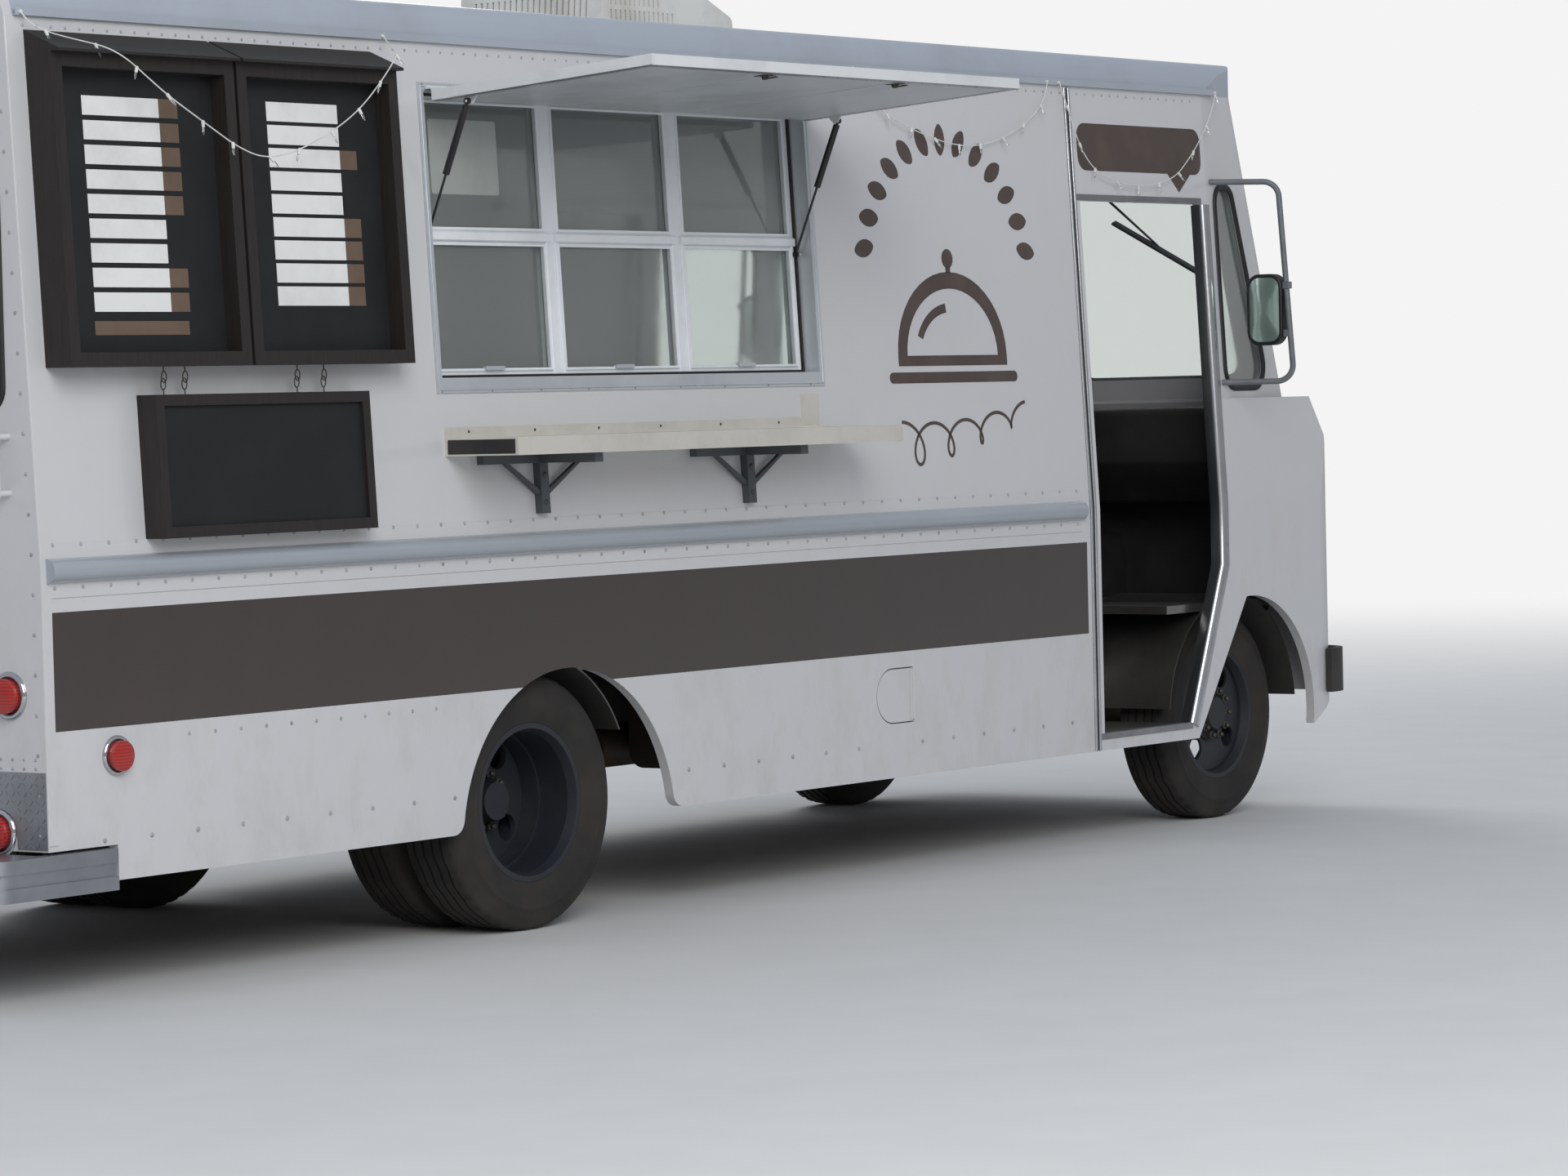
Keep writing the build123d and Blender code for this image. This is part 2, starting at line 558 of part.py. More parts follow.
def nose_block(back_x, low, thick):
    """Solid of the lower cab's outer or inner surface."""
    reach = half_width - thick
    with BuildSketch(Plane.XY.offset(low)) as plan:
        with BuildLine():
            corner = nose_corner_r - thick
            rounded_outline([(back_x, -reach), (nose_x - thick, -reach), (nose_x - thick, reach), (back_x, reach)],
                            [0, corner, corner, 0])
        make_face()
    extrude(plan.sketch, amount=seam_z + 150 - low)
    outline = [point for count, point in enumerate(nose_side(back_x, low, thick))
               if thick or count != 5]
    cut_through(outline, -half_width, half_width, Mode.INTERSECT)
    with BuildSketch(Plane.YZ.offset(back_x)) as across:
        Polygon(*nose_across(low, thick), align=None)
    extrude(across.sketch, amount=nose_x - back_x, mode=Mode.INTERSECT)


with BuildPart() as nose_hollow:
    nose_block(door_rear_x - 50, skirt_z - 50, wall)

with BuildPart() as cab_lower:
    nose_block(door_rear_x, skirt_z, 0)
    add(nose_hollow.part, mode=Mode.SUBTRACT)
    cut_through(doorway, *full_width)
    with BuildSketch(Plane.XZ.offset(full_width[0])):
        with Locations((wheelbase, axle_z)):
            Circle(front_arch_r)
        Polygon(*arch_line, (nose_x, arch_line[1][1]), (nose_x, arch_line[0][1]), align=None, mode=Mode.INTERSECT)
    extrude(amount=full_width[1] - full_width[0], mode=Mode.SUBTRACT)
    with BuildSketch(Plane.XZ.offset(front_arch_lip - half_width)):
        with Locations((wheelbase, axle_z)):
            Circle(front_arch_r)
    extrude(amount=2 * (half_width - front_arch_lip), mode=Mode.SUBTRACT)
    with BuildSketch(Plane.YZ.offset(nose_x - 2 * wall)):
        with Locations((0, (grille_z0 + grille_z1) / 2)):
            RectangleRounded(2 * grille_half, grille_z1 - grille_z0, grille_corner_r)
        for name, side in sides:
            with Locations((side * lamp_y, lamp_z)):
                Circle(lamp_r)
            with Locations((side * lamp_y, turn_z)):
                Circle(turn_r)
            with Locations((side * (rail_half_gap - 30), bumper_mount_z)):
                Rectangle(mount_notch, mount_notch)
    extrude(amount=3 * wall, mode=Mode.SUBTRACT)
pieces["cab_lower"] = cab_lower

# Grille: a frame of horizontal bars that fills the nose opening
grille_bar, grille_bars, grille_edge = 14.0, 9, 25.0
grille_pitch = (grille_z1 - grille_z0) / grille_bars
with BuildPart() as grille:
    with BuildSketch(Plane.YZ.offset(nose_x - wall)):
        with Locations((0, (grille_z0 + grille_z1) / 2)):
            RectangleRounded(2 * grille_half, grille_z1 - grille_z0, grille_corner_r)
            with GridLocations(0, grille_pitch, 1, grille_bars):
                Rectangle(2 * (grille_half - grille_edge), grille_pitch - grille_bar, mode=Mode.SUBTRACT)
    extrude(amount=wall + 6)
pieces["grille"] = grille

# Bumpers: a plan outline with returns round the corners, the rear one grooved all along
rear_bumper_x, rear_bumper_z0, rear_bumper_z1 = rear_x - 220, notch_z - 125, notch_z - 8
rear_bumper_depth, rear_bumper_sheet, bumper_groove = 200.0, 45.0, 9.0
front_bumper_x, front_bumper_z0, front_bumper_z1 = nose_x + 80, 450.0, 620.0
front_bumper_sheet = 25.0
mount_y, mount_width = rail_half_gap - 30, 60.0
plate_hole_r, plate_spacing = 3.5, 178.0


def bumper_plan(face_x, inner_x, tip_x, reach, thick, corner):
    """Outline and radii of a bumper bar with a return along each side."""
    outer = [(tip_x, -reach), (face_x, -reach), (face_x, reach), (tip_x, reach)]
    inner = [(tip_x, reach - thick), (inner_x, reach - thick), (inner_x, -reach + thick), (tip_x, -reach + thick)]
    inner_r = max(corner - thick, 0)
    return outer + inner, [0, corner, corner, 0, 0, inner_r, inner_r, 0]


with BuildPart() as rear_bumper:
    third = (rear_bumper_z1 - rear_bumper_z0) / 3
    for count, inset in enumerate((0.0, bumper_groove, 0.0)):
        with BuildSketch(Plane.XY.offset(rear_bumper_z0 + count * third)):
            with BuildLine():
                points, radii = bumper_plan(rear_bumper_x + inset, rear_bumper_x + rear_bumper_depth, notch_x - 20,
                                            half_width + 20 - inset, rear_bumper_sheet - inset, 60)
                rounded_outline(points, radii)
            make_face()
        extrude(amount=third)
    bracket_x0 = rear_bumper_x + rear_bumper_depth
    for name, side in sides:
        with Locations(((bracket_x0 + rail_rear_x) / 2, side * mount_y, notch_z - 40)):
            Box(rail_rear_x - bracket_x0, mount_width, 70)
        with Locations((rail_rear_x - 40, side * mount_y, (notch_z - 5 + rail_top) / 2)):
            Box(80, mount_width, rail_top - notch_z + 5)
    with BuildSketch(Plane.YZ.offset(rear_bumper_x)):
        with Locations((0, (rear_bumper_z0 + rear_bumper_z1) / 2)):
            with GridLocations(plate_spacing, 0, 2, 1):
                Circle(plate_hole_r)
    extrude(amount=30, mode=Mode.SUBTRACT)
pieces["rear_bumper"] = rear_bumper

with BuildPart() as front_bumper:
    with BuildSketch(Plane.XY.offset(front_bumper_z0)):
        with BuildLine():
            points, radii = bumper_plan(front_bumper_x, front_bumper_x - front_bumper_sheet, nose_x - 150,
                                        half_width + 30, front_bumper_sheet, 200)
            rounded_outline(points, radii)
        make_face()
    extrude(amount=front_bumper_z1 - front_bumper_z0)
    for name, side in sides:
        with Locations(((front_bumper_x - front_bumper_sheet + rail_front_x) / 2, side * mount_y, bumper_mount_z)):
            Box(front_bumper_x - front_bumper_sheet - rail_front_x, mount_width, mount_width)
pieces["front_bumper"] = front_bumper

# Lamps: headlamps and turn lamps in the nose, round lamps at the rear and side markers
lamp_out = 12.0
front_lamp_table = ((lamp_y, lamp_z, lamp_r), (lamp_y, turn_z, turn_r))
rear_lamp_r, rear_lamp_depth = 48.0, 28.0
rear_lamp_table = ((half_width - 134, 866.0), (half_width - 190, 484.0))
marker_x, marker_z, marker_r, marker_out = rear_x + 275, 684.0, 42.0, 25.0
with BuildPart() as lamps:
    for y, z, radius in front_lamp_table:
        with BuildSketch(Plane.YZ.offset(nose_x - wall)):
            with Locations((-y, z), (y, z)):
                Circle(radius)
        extrude(amount=wall + lamp_out)
    for y, z in rear_lamp_table:
        with BuildSketch(Plane.YZ.offset(rear_x - rear_lamp_depth)):
            with Locations((-y, z), (y, z)):
                Circle(rear_lamp_r)
        extrude(amount=rear_lamp_depth)
    for name, side in sides:
        with BuildSketch(Plane.XZ.offset(-side * half_width)):
            with Locations((marker_x, marker_z)):
                Circle(marker_r)
        extrude(amount=-side * marker_out)
pieces["lamps"] = lamps

# Belt rails: a half-round rub rail on a riveted flange along each side
belt_r, belt_flange, belt_flange_sheet = 35.0, 75.0, 3.0
belt_rear_x, belt_front_x = rear_x + 20, door_rear_x - 126
with BuildPart() as belt_rails:
    for name, side in sides:
        with BuildSketch(Plane.YZ.offset(belt_rear_x)):
            with Locations((side * half_width, belt_z)):
                Circle(belt_r)
            with Locations((side * (half_width - belt_r), belt_z)):
                Rectangle(2 * belt_r, 4 * belt_r, mode=Mode.SUBTRACT)
        extrude(amount=belt_front_x - belt_rear_x)
        leaning_slab(side, belt_rear_x, belt_front_x, belt_z - belt_flange, belt_z + belt_flange,
                     -belt_flange_sheet, 0)
pieces["belt_rails"] = belt_rails

# Hatch and strut places, shared with the serving window frame
hatch_axis_z = window_z1 + hinge_above_window
hatch_reach = hatch_axis_z - window_z0 - frame_sill - hatch_margin
window_face = half_width - lean(hatch_axis_z)
axis_out = frame_proud + running_gap + hinge_r
hatch_x0, hatch_x1 = window_x0 + frame_sheet + hatch_side_gap, window_x1 - frame_sheet - hatch_side_gap
tilt = radians(hatch_tilt)


def hatch_point(down, depth):
    """Place across the truck of a point of the open hatch: distance from the axis, and depth below its top."""
    out = axis_out + down * cos(tilt) + depth * sin(tilt)
    return (-(window_face + out), hatch_axis_z + down * sin(tilt) - depth * cos(tilt))


hatch_start = 20.0
strut_depth, strut_down = 50.0, 150.0
stud_in = 18.0               # strut's plane inward of the window frame's liner
strut_table = (("rear", window_x0 + frame_sheet + stud_in, 1), ("front", window_x1 - frame_sheet - stud_in, -1))
eye_r, eye_thick, stud_r, shoulder_r = 10.0, 12.0, 4.0, 7.0
eye_side = eye_thick / 2 + running_gap
strut_foot_z = window_z1 - 480
foot_y = -(half_width - lean(strut_foot_z) - strut_depth)
eye_y, eye_z = hatch_point(strut_down, axis_out + strut_depth)

# Serving window frame: an aluminium lip and liner round the opening, with a stud for each strut's foot
with BuildPart() as serving_frame:
    leaning_slab(-1, window_x0 - frame_lip, window_x1 + frame_lip, window_z0 - frame_lip, window_z1 + frame_lip,
                 -frame_proud, 0)
    leaning_slab(-1, window_x0, window_x1, window_z0, window_z1, 0, frame_depth)
    liner = [(x, z) for x, z in ((window_x0 + frame_sheet, window_z0 + frame_sill),
                                 (window_x1 - frame_sheet, window_z0 + frame_sill),
                                 (window_x1 - frame_sheet, window_z1 - frame_sheet),
                                 (window_x0 + frame_sheet, window_z1 - frame_sheet))]
    cut_through(liner, -half_width - 10, 0)
    for name, x, inward in strut_table:
        with BuildSketch(Plane.YZ.offset(x - inward * eye_side)):
            with Locations((foot_y, strut_foot_z)):
                Circle(shoulder_r)
        extrude(amount=-inward * (stud_in - eye_side + 1))
pieces["serving_frame"] = serving_frame

# Sashes: white frames of three columns and two rows behind the liner
sash_x0, sash_x1 = window_x0 + frame_sheet, window_x1 - frame_sheet
sash_z0, sash_z1 = window_z0 + frame_sill, window_z1 - frame_sheet
sash_step_x, sash_step_z = (sash_x1 - sash_x0) / 3, (sash_z1 - sash_z0) / 2
stile_share = 1.6            # stiles are wider than the rails
glass, glass_set = 6.0, 18.0


def sash_panes(mode):
    """Cuts or keeps the six panes' openings."""
    with BuildSketch(Plane.XZ) as shape:
        with Locations(((sash_x0 + sash_x1) / 2, (sash_z0 + sash_z1) / 2)):
            with GridLocations(sash_step_x, sash_step_z, 3, 2):
                Rectangle(sash_step_x - stile_share * sash_bar, sash_step_z - sash_bar)
    extrude(shape.sketch, amount=half_width + 10, mode=mode)


with BuildPart() as sashes:
    leaning_slab(-1, window_x0, window_x1, window_z0, window_z1, frame_depth, frame_depth + sash_depth)
    sash_panes(Mode.SUBTRACT)
pieces["sashes"] = sashes

# Fixed glass: serving panes, windscreens, quarter panes and rear panes, each filling its opening
screen_set = 12.0
with BuildPart() as serving_panes:
    leaning_slab(-1, sash_x0, sash_x1, sash_z0, sash_z1, frame_depth + glass_set, frame_depth + glass_set + glass)
    sash_panes(Mode.INTERSECT)

with BuildPart() as rear_panes:
    with BuildSketch(Plane.YZ.offset(rear_x + wall / 2)):
        with Locations(*[(side * corner_window_y, (corner_window_z0 + corner_window_z1) / 2) for name, side in sides]):
            RectangleRounded(corner_window_width, corner_window_z1 - corner_window_z0, pane_corner_r)
    extrude(amount=glass)

with BuildPart() as glass_inside:
    lofted_plan(screen_set + glass)

with BuildPart() as glass_skin:
    lofted_plan(screen_set)
    add(glass_inside.part, mode=Mode.SUBTRACT)

with BuildPart() as screen_panes:
    add(glass_skin.part)
    screen_cut(Mode.INTERSECT)

with BuildPart() as quarter_panes:
    add(glass_skin.part)
    quarter_cut(Mode.INTERSECT)

with BuildPart() as fixed_glass:
    for panes in (serving_panes, rear_panes, screen_panes, quarter_panes):
        add(panes.part)
pieces["fixed_glass"] = fixed_glass

# Wipers: one for each windscreen, hung from a spindle above the glass
rake = radians(screen_rake)
wiper_foot_y, wiper_foot_z = 100.0, pane_z1 + 25
blade_slope, blade_length, blade_width = 31.6, 430.0, 10.0
blade_y, blade_z = 510.0, pane_z1 - 370
arm_out, arm_thick, arm_width = 16.0, 6.0, 12.0
spindle_cap_r = 14.0
with BuildPart() as wipers:
    for name, side in sides:
        screen_plane = Plane((screen_x(wiper_foot_z), side * wiper_foot_y, wiper_foot_z), x_dir=(0, 1, 0),
                             z_dir=(cos(rake), 0, sin(rake)))
        reach_y, reach_up = side * (blade_y - wiper_foot_y), (blade_z - wiper_foot_z) / cos(rake)
        along = Vector(reach_y, reach_up).normalized() * arm_width / 2
        with BuildSketch(screen_plane.offset(running_gap)):
            Circle(spindle_cap_r)
        extrude(amount=arm_out + arm_thick)
        with BuildSketch(screen_plane.offset(arm_out)):
            Polygon((along.Y, -along.X), (reach_y + along.Y / 2, reach_up - along.X / 2),
                    (reach_y - along.Y / 2, reach_up + along.X / 2), (-along.Y, along.X), align=None)
        extrude(amount=arm_thick)
        with BuildSketch(screen_plane.offset(running_gap - screen_set * cos(rake))):
            with Locations(Location((reach_y, reach_up, 0), (0, 0, -side * blade_slope))):
                Rectangle(blade_length, blade_width)
        extrude(amount=screen_set * cos(rake) + arm_out + arm_thick / 2)
pieces["wipers"] = wipers

# Hatch: an awning panel hinged above the serving window, open and nearly level
leaf_reach, leaf_sheet = hatch_start + 40, 3.0
panel = [hatch_point(hatch_start, axis_out), hatch_point(hatch_reach, axis_out),
         hatch_point(hatch_reach, axis_out + hatch_thick), hatch_point(hatch_start, axis_out + hatch_thick)]
hinge_leaf = [hatch_point(0, hinge_r - leaf_sheet), hatch_point(leaf_reach, axis_out - leaf_sheet),
              hatch_point(leaf_reach, axis_out), hatch_point(hatch_start, axis_out + leaf_sheet),
              hatch_point(hatch_start - leaf_sheet, hinge_r), hatch_point(0, hinge_r)]
lug_gap, lug_thick, lug_beyond = 1.5, 5.0, 8.0
barrel_r = 11.0
lug_start = barrel_r + lug_gap
lug = [hatch_point(strut_down - 30, axis_out + hatch_thick - 1), hatch_point(strut_down + 30, axis_out + hatch_thick - 1),
       hatch_point(strut_down + lug_beyond, axis_out + strut_depth + lug_beyond),
       hatch_point(strut_down - lug_beyond, axis_out + strut_depth + lug_beyond)]
with BuildPart() as hatch:
    with BuildSketch(Plane.YZ.offset(hatch_x0)):
        Polygon(*panel, align=None)
        Polygon(*hinge_leaf, align=None)
        with Locations(hatch_point(0, 0)):
            Circle(hinge_r)
    extrude(amount=hatch_x1 - hatch_x0)
    for name, x, inward in strut_table:
        with BuildSketch(Plane.YZ.offset(x + inward * lug_start)):
            Polygon(*lug, align=None)
        extrude(amount=inward * lug_thick)
        for radius, start, end in ((stud_r, -eye_thick / 2, lug_start), (shoulder_r, eye_side, lug_start)):
            with BuildSketch(Plane.YZ.offset(x + inward * start)):
                with Locations((eye_y, eye_z)):
                    Circle(radius)
            extrude(amount=inward * (end - start))
pieces["hatch"] = hatch

# Gas struts: a barrel on the hatch's stud and a rod that ends at the frame's stud
strut_dy, strut_dz = foot_y - eye_y, strut_foot_z - eye_z
barrel_len, barrel_start, neck_r, barrel_floor = 235.0, 14.0, 5.0, 20.0
rod_len, rod_r, bore_r = 300.0, 4.0, 4.2
for name, x, inward in strut_table:
    down_axis = Plane((x, eye_y, eye_z), x_dir=(1, 0, 0), z_dir=(0, strut_dy, strut_dz))
    up_axis = Plane((x, foot_y, strut_foot_z), x_dir=(1, 0, 0), z_dir=(0, -strut_dy, -strut_dz))
    with BuildPart() as barrel:
        with BuildSketch(Plane.YZ.offset(x - eye_thick / 2)):
            with Locations((eye_y, eye_z)):
                Circle(eye_r)
        extrude(amount=eye_thick)
        with BuildSketch(down_axis.offset(barrel_start)):
            Circle(barrel_r)
        extrude(amount=barrel_len - barrel_start)
        with BuildSketch(down_axis.offset(eye_r / 2)):
            Circle(neck_r)
        extrude(amount=barrel_start - eye_r / 2 + 1)
        with BuildSketch(Plane.YZ.offset(x - eye_thick)):
            with Locations((eye_y, eye_z)):
                Circle(stud_r + 0.1)
        extrude(amount=2 * eye_thick, mode=Mode.SUBTRACT)
        with BuildSketch(down_axis.offset(barrel_len)):
            Circle(bore_r)
        extrude(amount=barrel_floor - barrel_len, mode=Mode.SUBTRACT)
    pieces["strut_barrel_" + name] = barrel
    with BuildPart() as rod:
        with BuildSketch(Plane.YZ.offset(x - eye_thick / 2)):
            with Locations((foot_y, strut_foot_z)):
                Circle(eye_r)
        extrude(amount=eye_thick)
        with BuildSketch(up_axis.offset(eye_r - 2)):
            Circle(rod_r)
        extrude(amount=rod_len - eye_r + 2)
    pieces["strut_rod_" + name] = rod

# Shelf below the serving window, with an upstand at the wall and a bent sheet at its front end
shelf_x0, shelf_x1 = window_x0, window_x1 + 50
shelf_z1, shelf_thick, shelf_out = window_z0 - 158, 55.0, 290.0
shelf_z0 = shelf_z1 - shelf_thick
upstand_height, upstand_thick = 33.0, 14.0
bent_x0, bent_length, bent_height, bent_sheet, bent_foot = shelf_x1 - 170, 100.0, 110.0, 3.0, 60.0
with BuildPart() as shelf:
    leaning_slab(-1, shelf_x0, shelf_x1, shelf_z0, shelf_z1, -shelf_out, 0)
    leaning_slab(-1, shelf_x0, bent_x0, shelf_z1, shelf_z1 + upstand_height, -upstand_thick, 0)
    leaning_slab(-1, bent_x0, bent_x0 + bent_length, shelf_z1, shelf_z1 + bent_height, -bent_sheet, 0)
    leaning_slab(-1, bent_x0, bent_x0 + bent_length, shelf_z1, shelf_z1 + bent_sheet, -bent_foot, 0)
pieces["shelf"] = shelf

# Shelf brackets: a post on the wall with a brace each way, a bar under the shelf and an arm outward
bracket_xs = (shelf_x0 + 430, shelf_x1 - 500)
post_width, post_thick, post_height = 40.0, 28.0, 187.0
bar_half, bar_height, arm_short = 285.0, 30.0, 40.0
brace_reach, brace_foot, brace_head, brace_width = 200.0, 125.0, 20.0, 18.0
brace_y = -(half_width - lean(shelf_z0 - brace_foot) + post_thick - 6)
with BuildPart() as shelf_brackets:
    for x in bracket_xs:
        leaning_slab(-1, x - post_width / 2, x + post_width / 2, shelf_z0 - post_height, shelf_z0, -post_thick, 0)
        leaning_slab(-1, x - post_width / 2, x + post_width / 2, shelf_z0 - bar_height, shelf_z0,
                     -shelf_out + arm_short, 0)
        leaning_slab(-1, x - bar_half, x + bar_half, shelf_z0 - bar_height, shelf_z0, -post_thick, 0)
        for way in (-1, 1):
            brace = [(x, shelf_z0 - brace_foot - brace_width), (x + way * brace_reach, shelf_z0 - brace_head),
                     (x + way * (brace_reach - brace_width), shelf_z0 - brace_head), (x, shelf_z0 - brace_foot)]
            cut_through(brace, brace_y, brace_y + post_thick / 2, Mode.ADD)
pieces["shelf_brackets"] = shelf_brackets

# Menu boards: two framed boxes with sloping visors, and a smaller board that hangs over the belt rail
board_rear_x, board_widths, board_gap = rear_x + 73, (727.0, 695.0), 12.0
board_z0, board_z1, board_out, board_frame, board_recess = window_z0 + 70, drip_z - 103, 100.0, 40.0, 60.0
visor_rise, visor_beyond, visor_sheet = 65.0, 30.0, 8.0
notice_x0, notice_x1, notice_out, notice_frame, notice_recess = rear_x + 420, -830.0, 75.0, 32.0, 14.0
notice_z0, notice_z1 = belt_z + belt_flange, window_z0 - 10
board_starts = (board_rear_x, board_rear_x + board_widths[0] + board_gap)
board_table = [(x0, x0 + width, board_z0, board_z1, board_out, board_frame, board_recess)
               for x0, width in zip(board_starts, board_widths)]
board_table.append((notice_x0, notice_x1, notice_z0, notice_z1, notice_out, notice_frame, notice_recess))
visor_foot_y, visor_root_y = -(half_width - lean(board_z1)), -(half_width - lean(board_z1 + visor_rise))
visor = [(visor_root_y, board_z1 + visor_rise), (visor_foot_y, board_z1),
         (visor_foot_y - board_out - visor_beyond, board_z1),
         (visor_foot_y - board_out - visor_beyond, board_z1 + visor_sheet)]
with BuildPart() as menu_boards:
    for x0, x1, z0, z1, out, frame, recess in board_table:
        leaning_slab(-1, x0, x1, z0, z1, -out, 0)
        leaning_slab(-1, x0 + frame, x1 - frame, z0 + frame, z1 - frame, -out - 10, recess - out, Mode.SUBTRACT)
    for x0, x1 in [row[:2] for row in board_table[:2]]:
        with BuildSketch(Plane.YZ.offset(x0)):
            Polygon(*visor, align=None)
        extrude(amount=x1 - x0)
pieces["menu_boards"] = menu_boards

# Mirrors: a tube loop from the corner post with a rounded head clamped inside it, both sides
loop_x, loop_foot_x = wheelbase - 10, wheelbase - 130
loop_top_z, loop_low_z, tube_bend_r, mirror_tube_r = drip_z - 327, seam_z + 60, 60.0, 11.0
loop_out, loop_low_out = 160.0, 215.0
head_z, head_width, head_height, head_thick, head_corner_r = 1930.0, 150.0, 265.0, 36.0, 50.0
clamp_width, clamp_height, clamp_rise = 44.0, 26.0, 90.0
loop_share = (loop_top_z - head_z) / (loop_top_z - loop_low_z)
head_y = half_width + loop_out + (loop_low_out - loop_out) * loop_share - mirror_tube_r - 6 - head_width / 2
with BuildPart() as mirrors:
    for name, side in sides:
        top_y = side * (half_width - lean(loop_top_z) - 12)
        low_y = side * (half_width - lean(loop_low_z) - 12)
        arm_y, foot_arm_y = side * (half_width + loop_out), side * (half_width + loop_low_out)
        with BuildLine():
            FilletPolyline((loop_foot_x, top_y, loop_top_z), (loop_x, arm_y, loop_top_z - 6),
                           (loop_x, foot_arm_y, loop_low_z), (loop_foot_x, low_y, loop_low_z), radius=tube_bend_r)
        with BuildSketch(Plane((loop_foot_x, top_y, loop_top_z), z_dir=(loop_x - loop_foot_x, arm_y - top_y, -6))):
            Circle(mirror_tube_r)
        sweep()
        with BuildSketch(Plane.YZ.offset(loop_x - head_thick / 2)):
            with Locations((side * head_y, head_z)):
                RectangleRounded(head_width, head_height, head_corner_r)
        extrude(amount=head_thick)
        with Locations(*[(loop_x, side * (head_y + head_width / 2 + 4), head_z + rise)
                         for rise in (-clamp_rise, clamp_rise)]):
            Box(head_thick - 8, clamp_width, clamp_height)
    add(cab_upper.part, mode=Mode.SUBTRACT)
pieces["mirrors"] = mirrors

# Roof air conditioner: a housing that slopes to the front, with slots in its rear and both sides
ac_x0, ac_length, ac_flat, ac_half, ac_height = 1340.0, 740.0, 260.0, 315.0, 290.0
ac_lip, ac_rise, ac_rear_slope = 80.0, 10.0, 25.0
slot_width, slot_depth, slot_pitch = 9.0, 10.0, 26.0
rear_slots, rear_slot_height, rear_rows, rear_row_pitch = 20, 84.0, 2, 104.0
side_slots, side_slot_height, side_rows, side_row_pitch = 14, 44.0, 3, 60.0
with BuildPart() as ac_unit:
    with BuildSketch(Plane.XZ.offset(-ac_half)):
        with BuildLine():
            rounded_outline([(ac_x0, crown_z + ac_rise), (ac_x0 + ac_rear_slope, crown_z + ac_height),
                             (ac_x0 + ac_flat, crown_z + ac_height), (ac_x0 + ac_length, crown_z + ac_lip),
                             (ac_x0 + ac_length, crown_z + ac_rise)], [0, 40, 150, 30, 0])
        make_face()
    extrude(amount=2 * ac_half)
    with Locations((ac_x0 + ac_length / 2, 0, crown_z)):
        Box(ac_length - 100, 2 * ac_half - 300, 2 * ac_rise + 4)
    with Locations((ac_x0, 0, crown_z + ac_height / 2)):
        with GridLocations(0, slot_pitch, 1, rear_slots):
            with GridLocations(0, 0, 1, 1):
                with Locations(*[(0, 0, (row - (rear_rows - 1) / 2) * rear_row_pitch) for row in range(rear_rows)]):
                    Box(2 * ac_rear_slope + 2 * slot_depth, slot_width, rear_slot_height, mode=Mode.SUBTRACT)
    for name, side in sides:
        with Locations(*[(ac_x0 + 60 + count * slot_pitch, side * ac_half, crown_z + 60 + row * side_row_pitch)
                         for row in range(side_rows) for count in range(side_slots - 3 * row)]):
            Box(slot_width, 2 * slot_depth, side_slot_height, mode=Mode.SUBTRACT)
    add(roof.part, mode=Mode.SUBTRACT)
pieces["ac_unit"] = ac_unit

# Sliding cab doors: leaning with the side, with a window and a pull handle, hung below the track
door_rear_edge, door_front_edge = door_rear_x - door_overlap, jamb_x + door_overlap
door_inner = wall + door_gap
door_sill_gap = 6.0
pane_margin, door_pane_z0, door_pane_z1 = 90.0, belt_z + 270, door_head_z - 70
door_pane_length = door_width - 2 * pane_margin
pull_x, pull_z, pull_width, pull_height, pull_out = jamb_x - 18, seam_z - 30, 12.0, 110.0, 24.0
for name, side in sides:
    shift = -door_travel if side < 0 else 0.0

    def door_pane_cut(mode):
        """Cuts or keeps the door window's opening."""
        with BuildSketch(Plane.XZ.offset(-half_width)) as shape:
            with Locations(((door_rear_x + jamb_x) / 2 + shift, (door_pane_z0 + door_pane_z1) / 2)):
                RectangleRounded(door_pane_length, door_pane_z1 - door_pane_z0, pane_corner_r)
        extrude(shape.sketch, amount=2 * half_width, mode=mode)

    with BuildPart() as door:
        leaning_slab(side, door_rear_edge + shift, door_front_edge + shift, door_sill_z + door_sill_gap,
                     track_z - running_gap, door_inner, door_inner + door_thickness)
        foot_x, knee_x = jamb_foot_x + door_overlap + shift, jamb_x + door_overlap + shift
        cut_through([(foot_x, door_sill_z - 50), (foot_x, door_sill_z), (knee_x, jamb_knee_z),
                     (knee_x + 50, jamb_knee_z), (knee_x + 50, door_sill_z - 50)], -half_width, half_width)
        door_pane_cut(Mode.SUBTRACT)
        for low, high, depth in ((0.0, 12.0, 0.0), (pull_height - 12, pull_height, 0.0), (0.0, pull_height, -14.0)):
            leaning_slab(side, pull_x + shift, pull_x + shift + pull_width, pull_z + low, pull_z + high,
                         door_inner - pull_out, door_inner + depth)
    pieces["door_" + name] = door
    with BuildPart() as door_glass:
        leaning_slab(side, door_rear_edge + shift, door_front_edge + shift, door_pane_z0, door_pane_z1,
                     door_inner + 13, door_inner + 13 + glass)
        door_pane_cut(Mode.INTERSECT)
    pieces["door_" + name + "_glass"] = door_glass

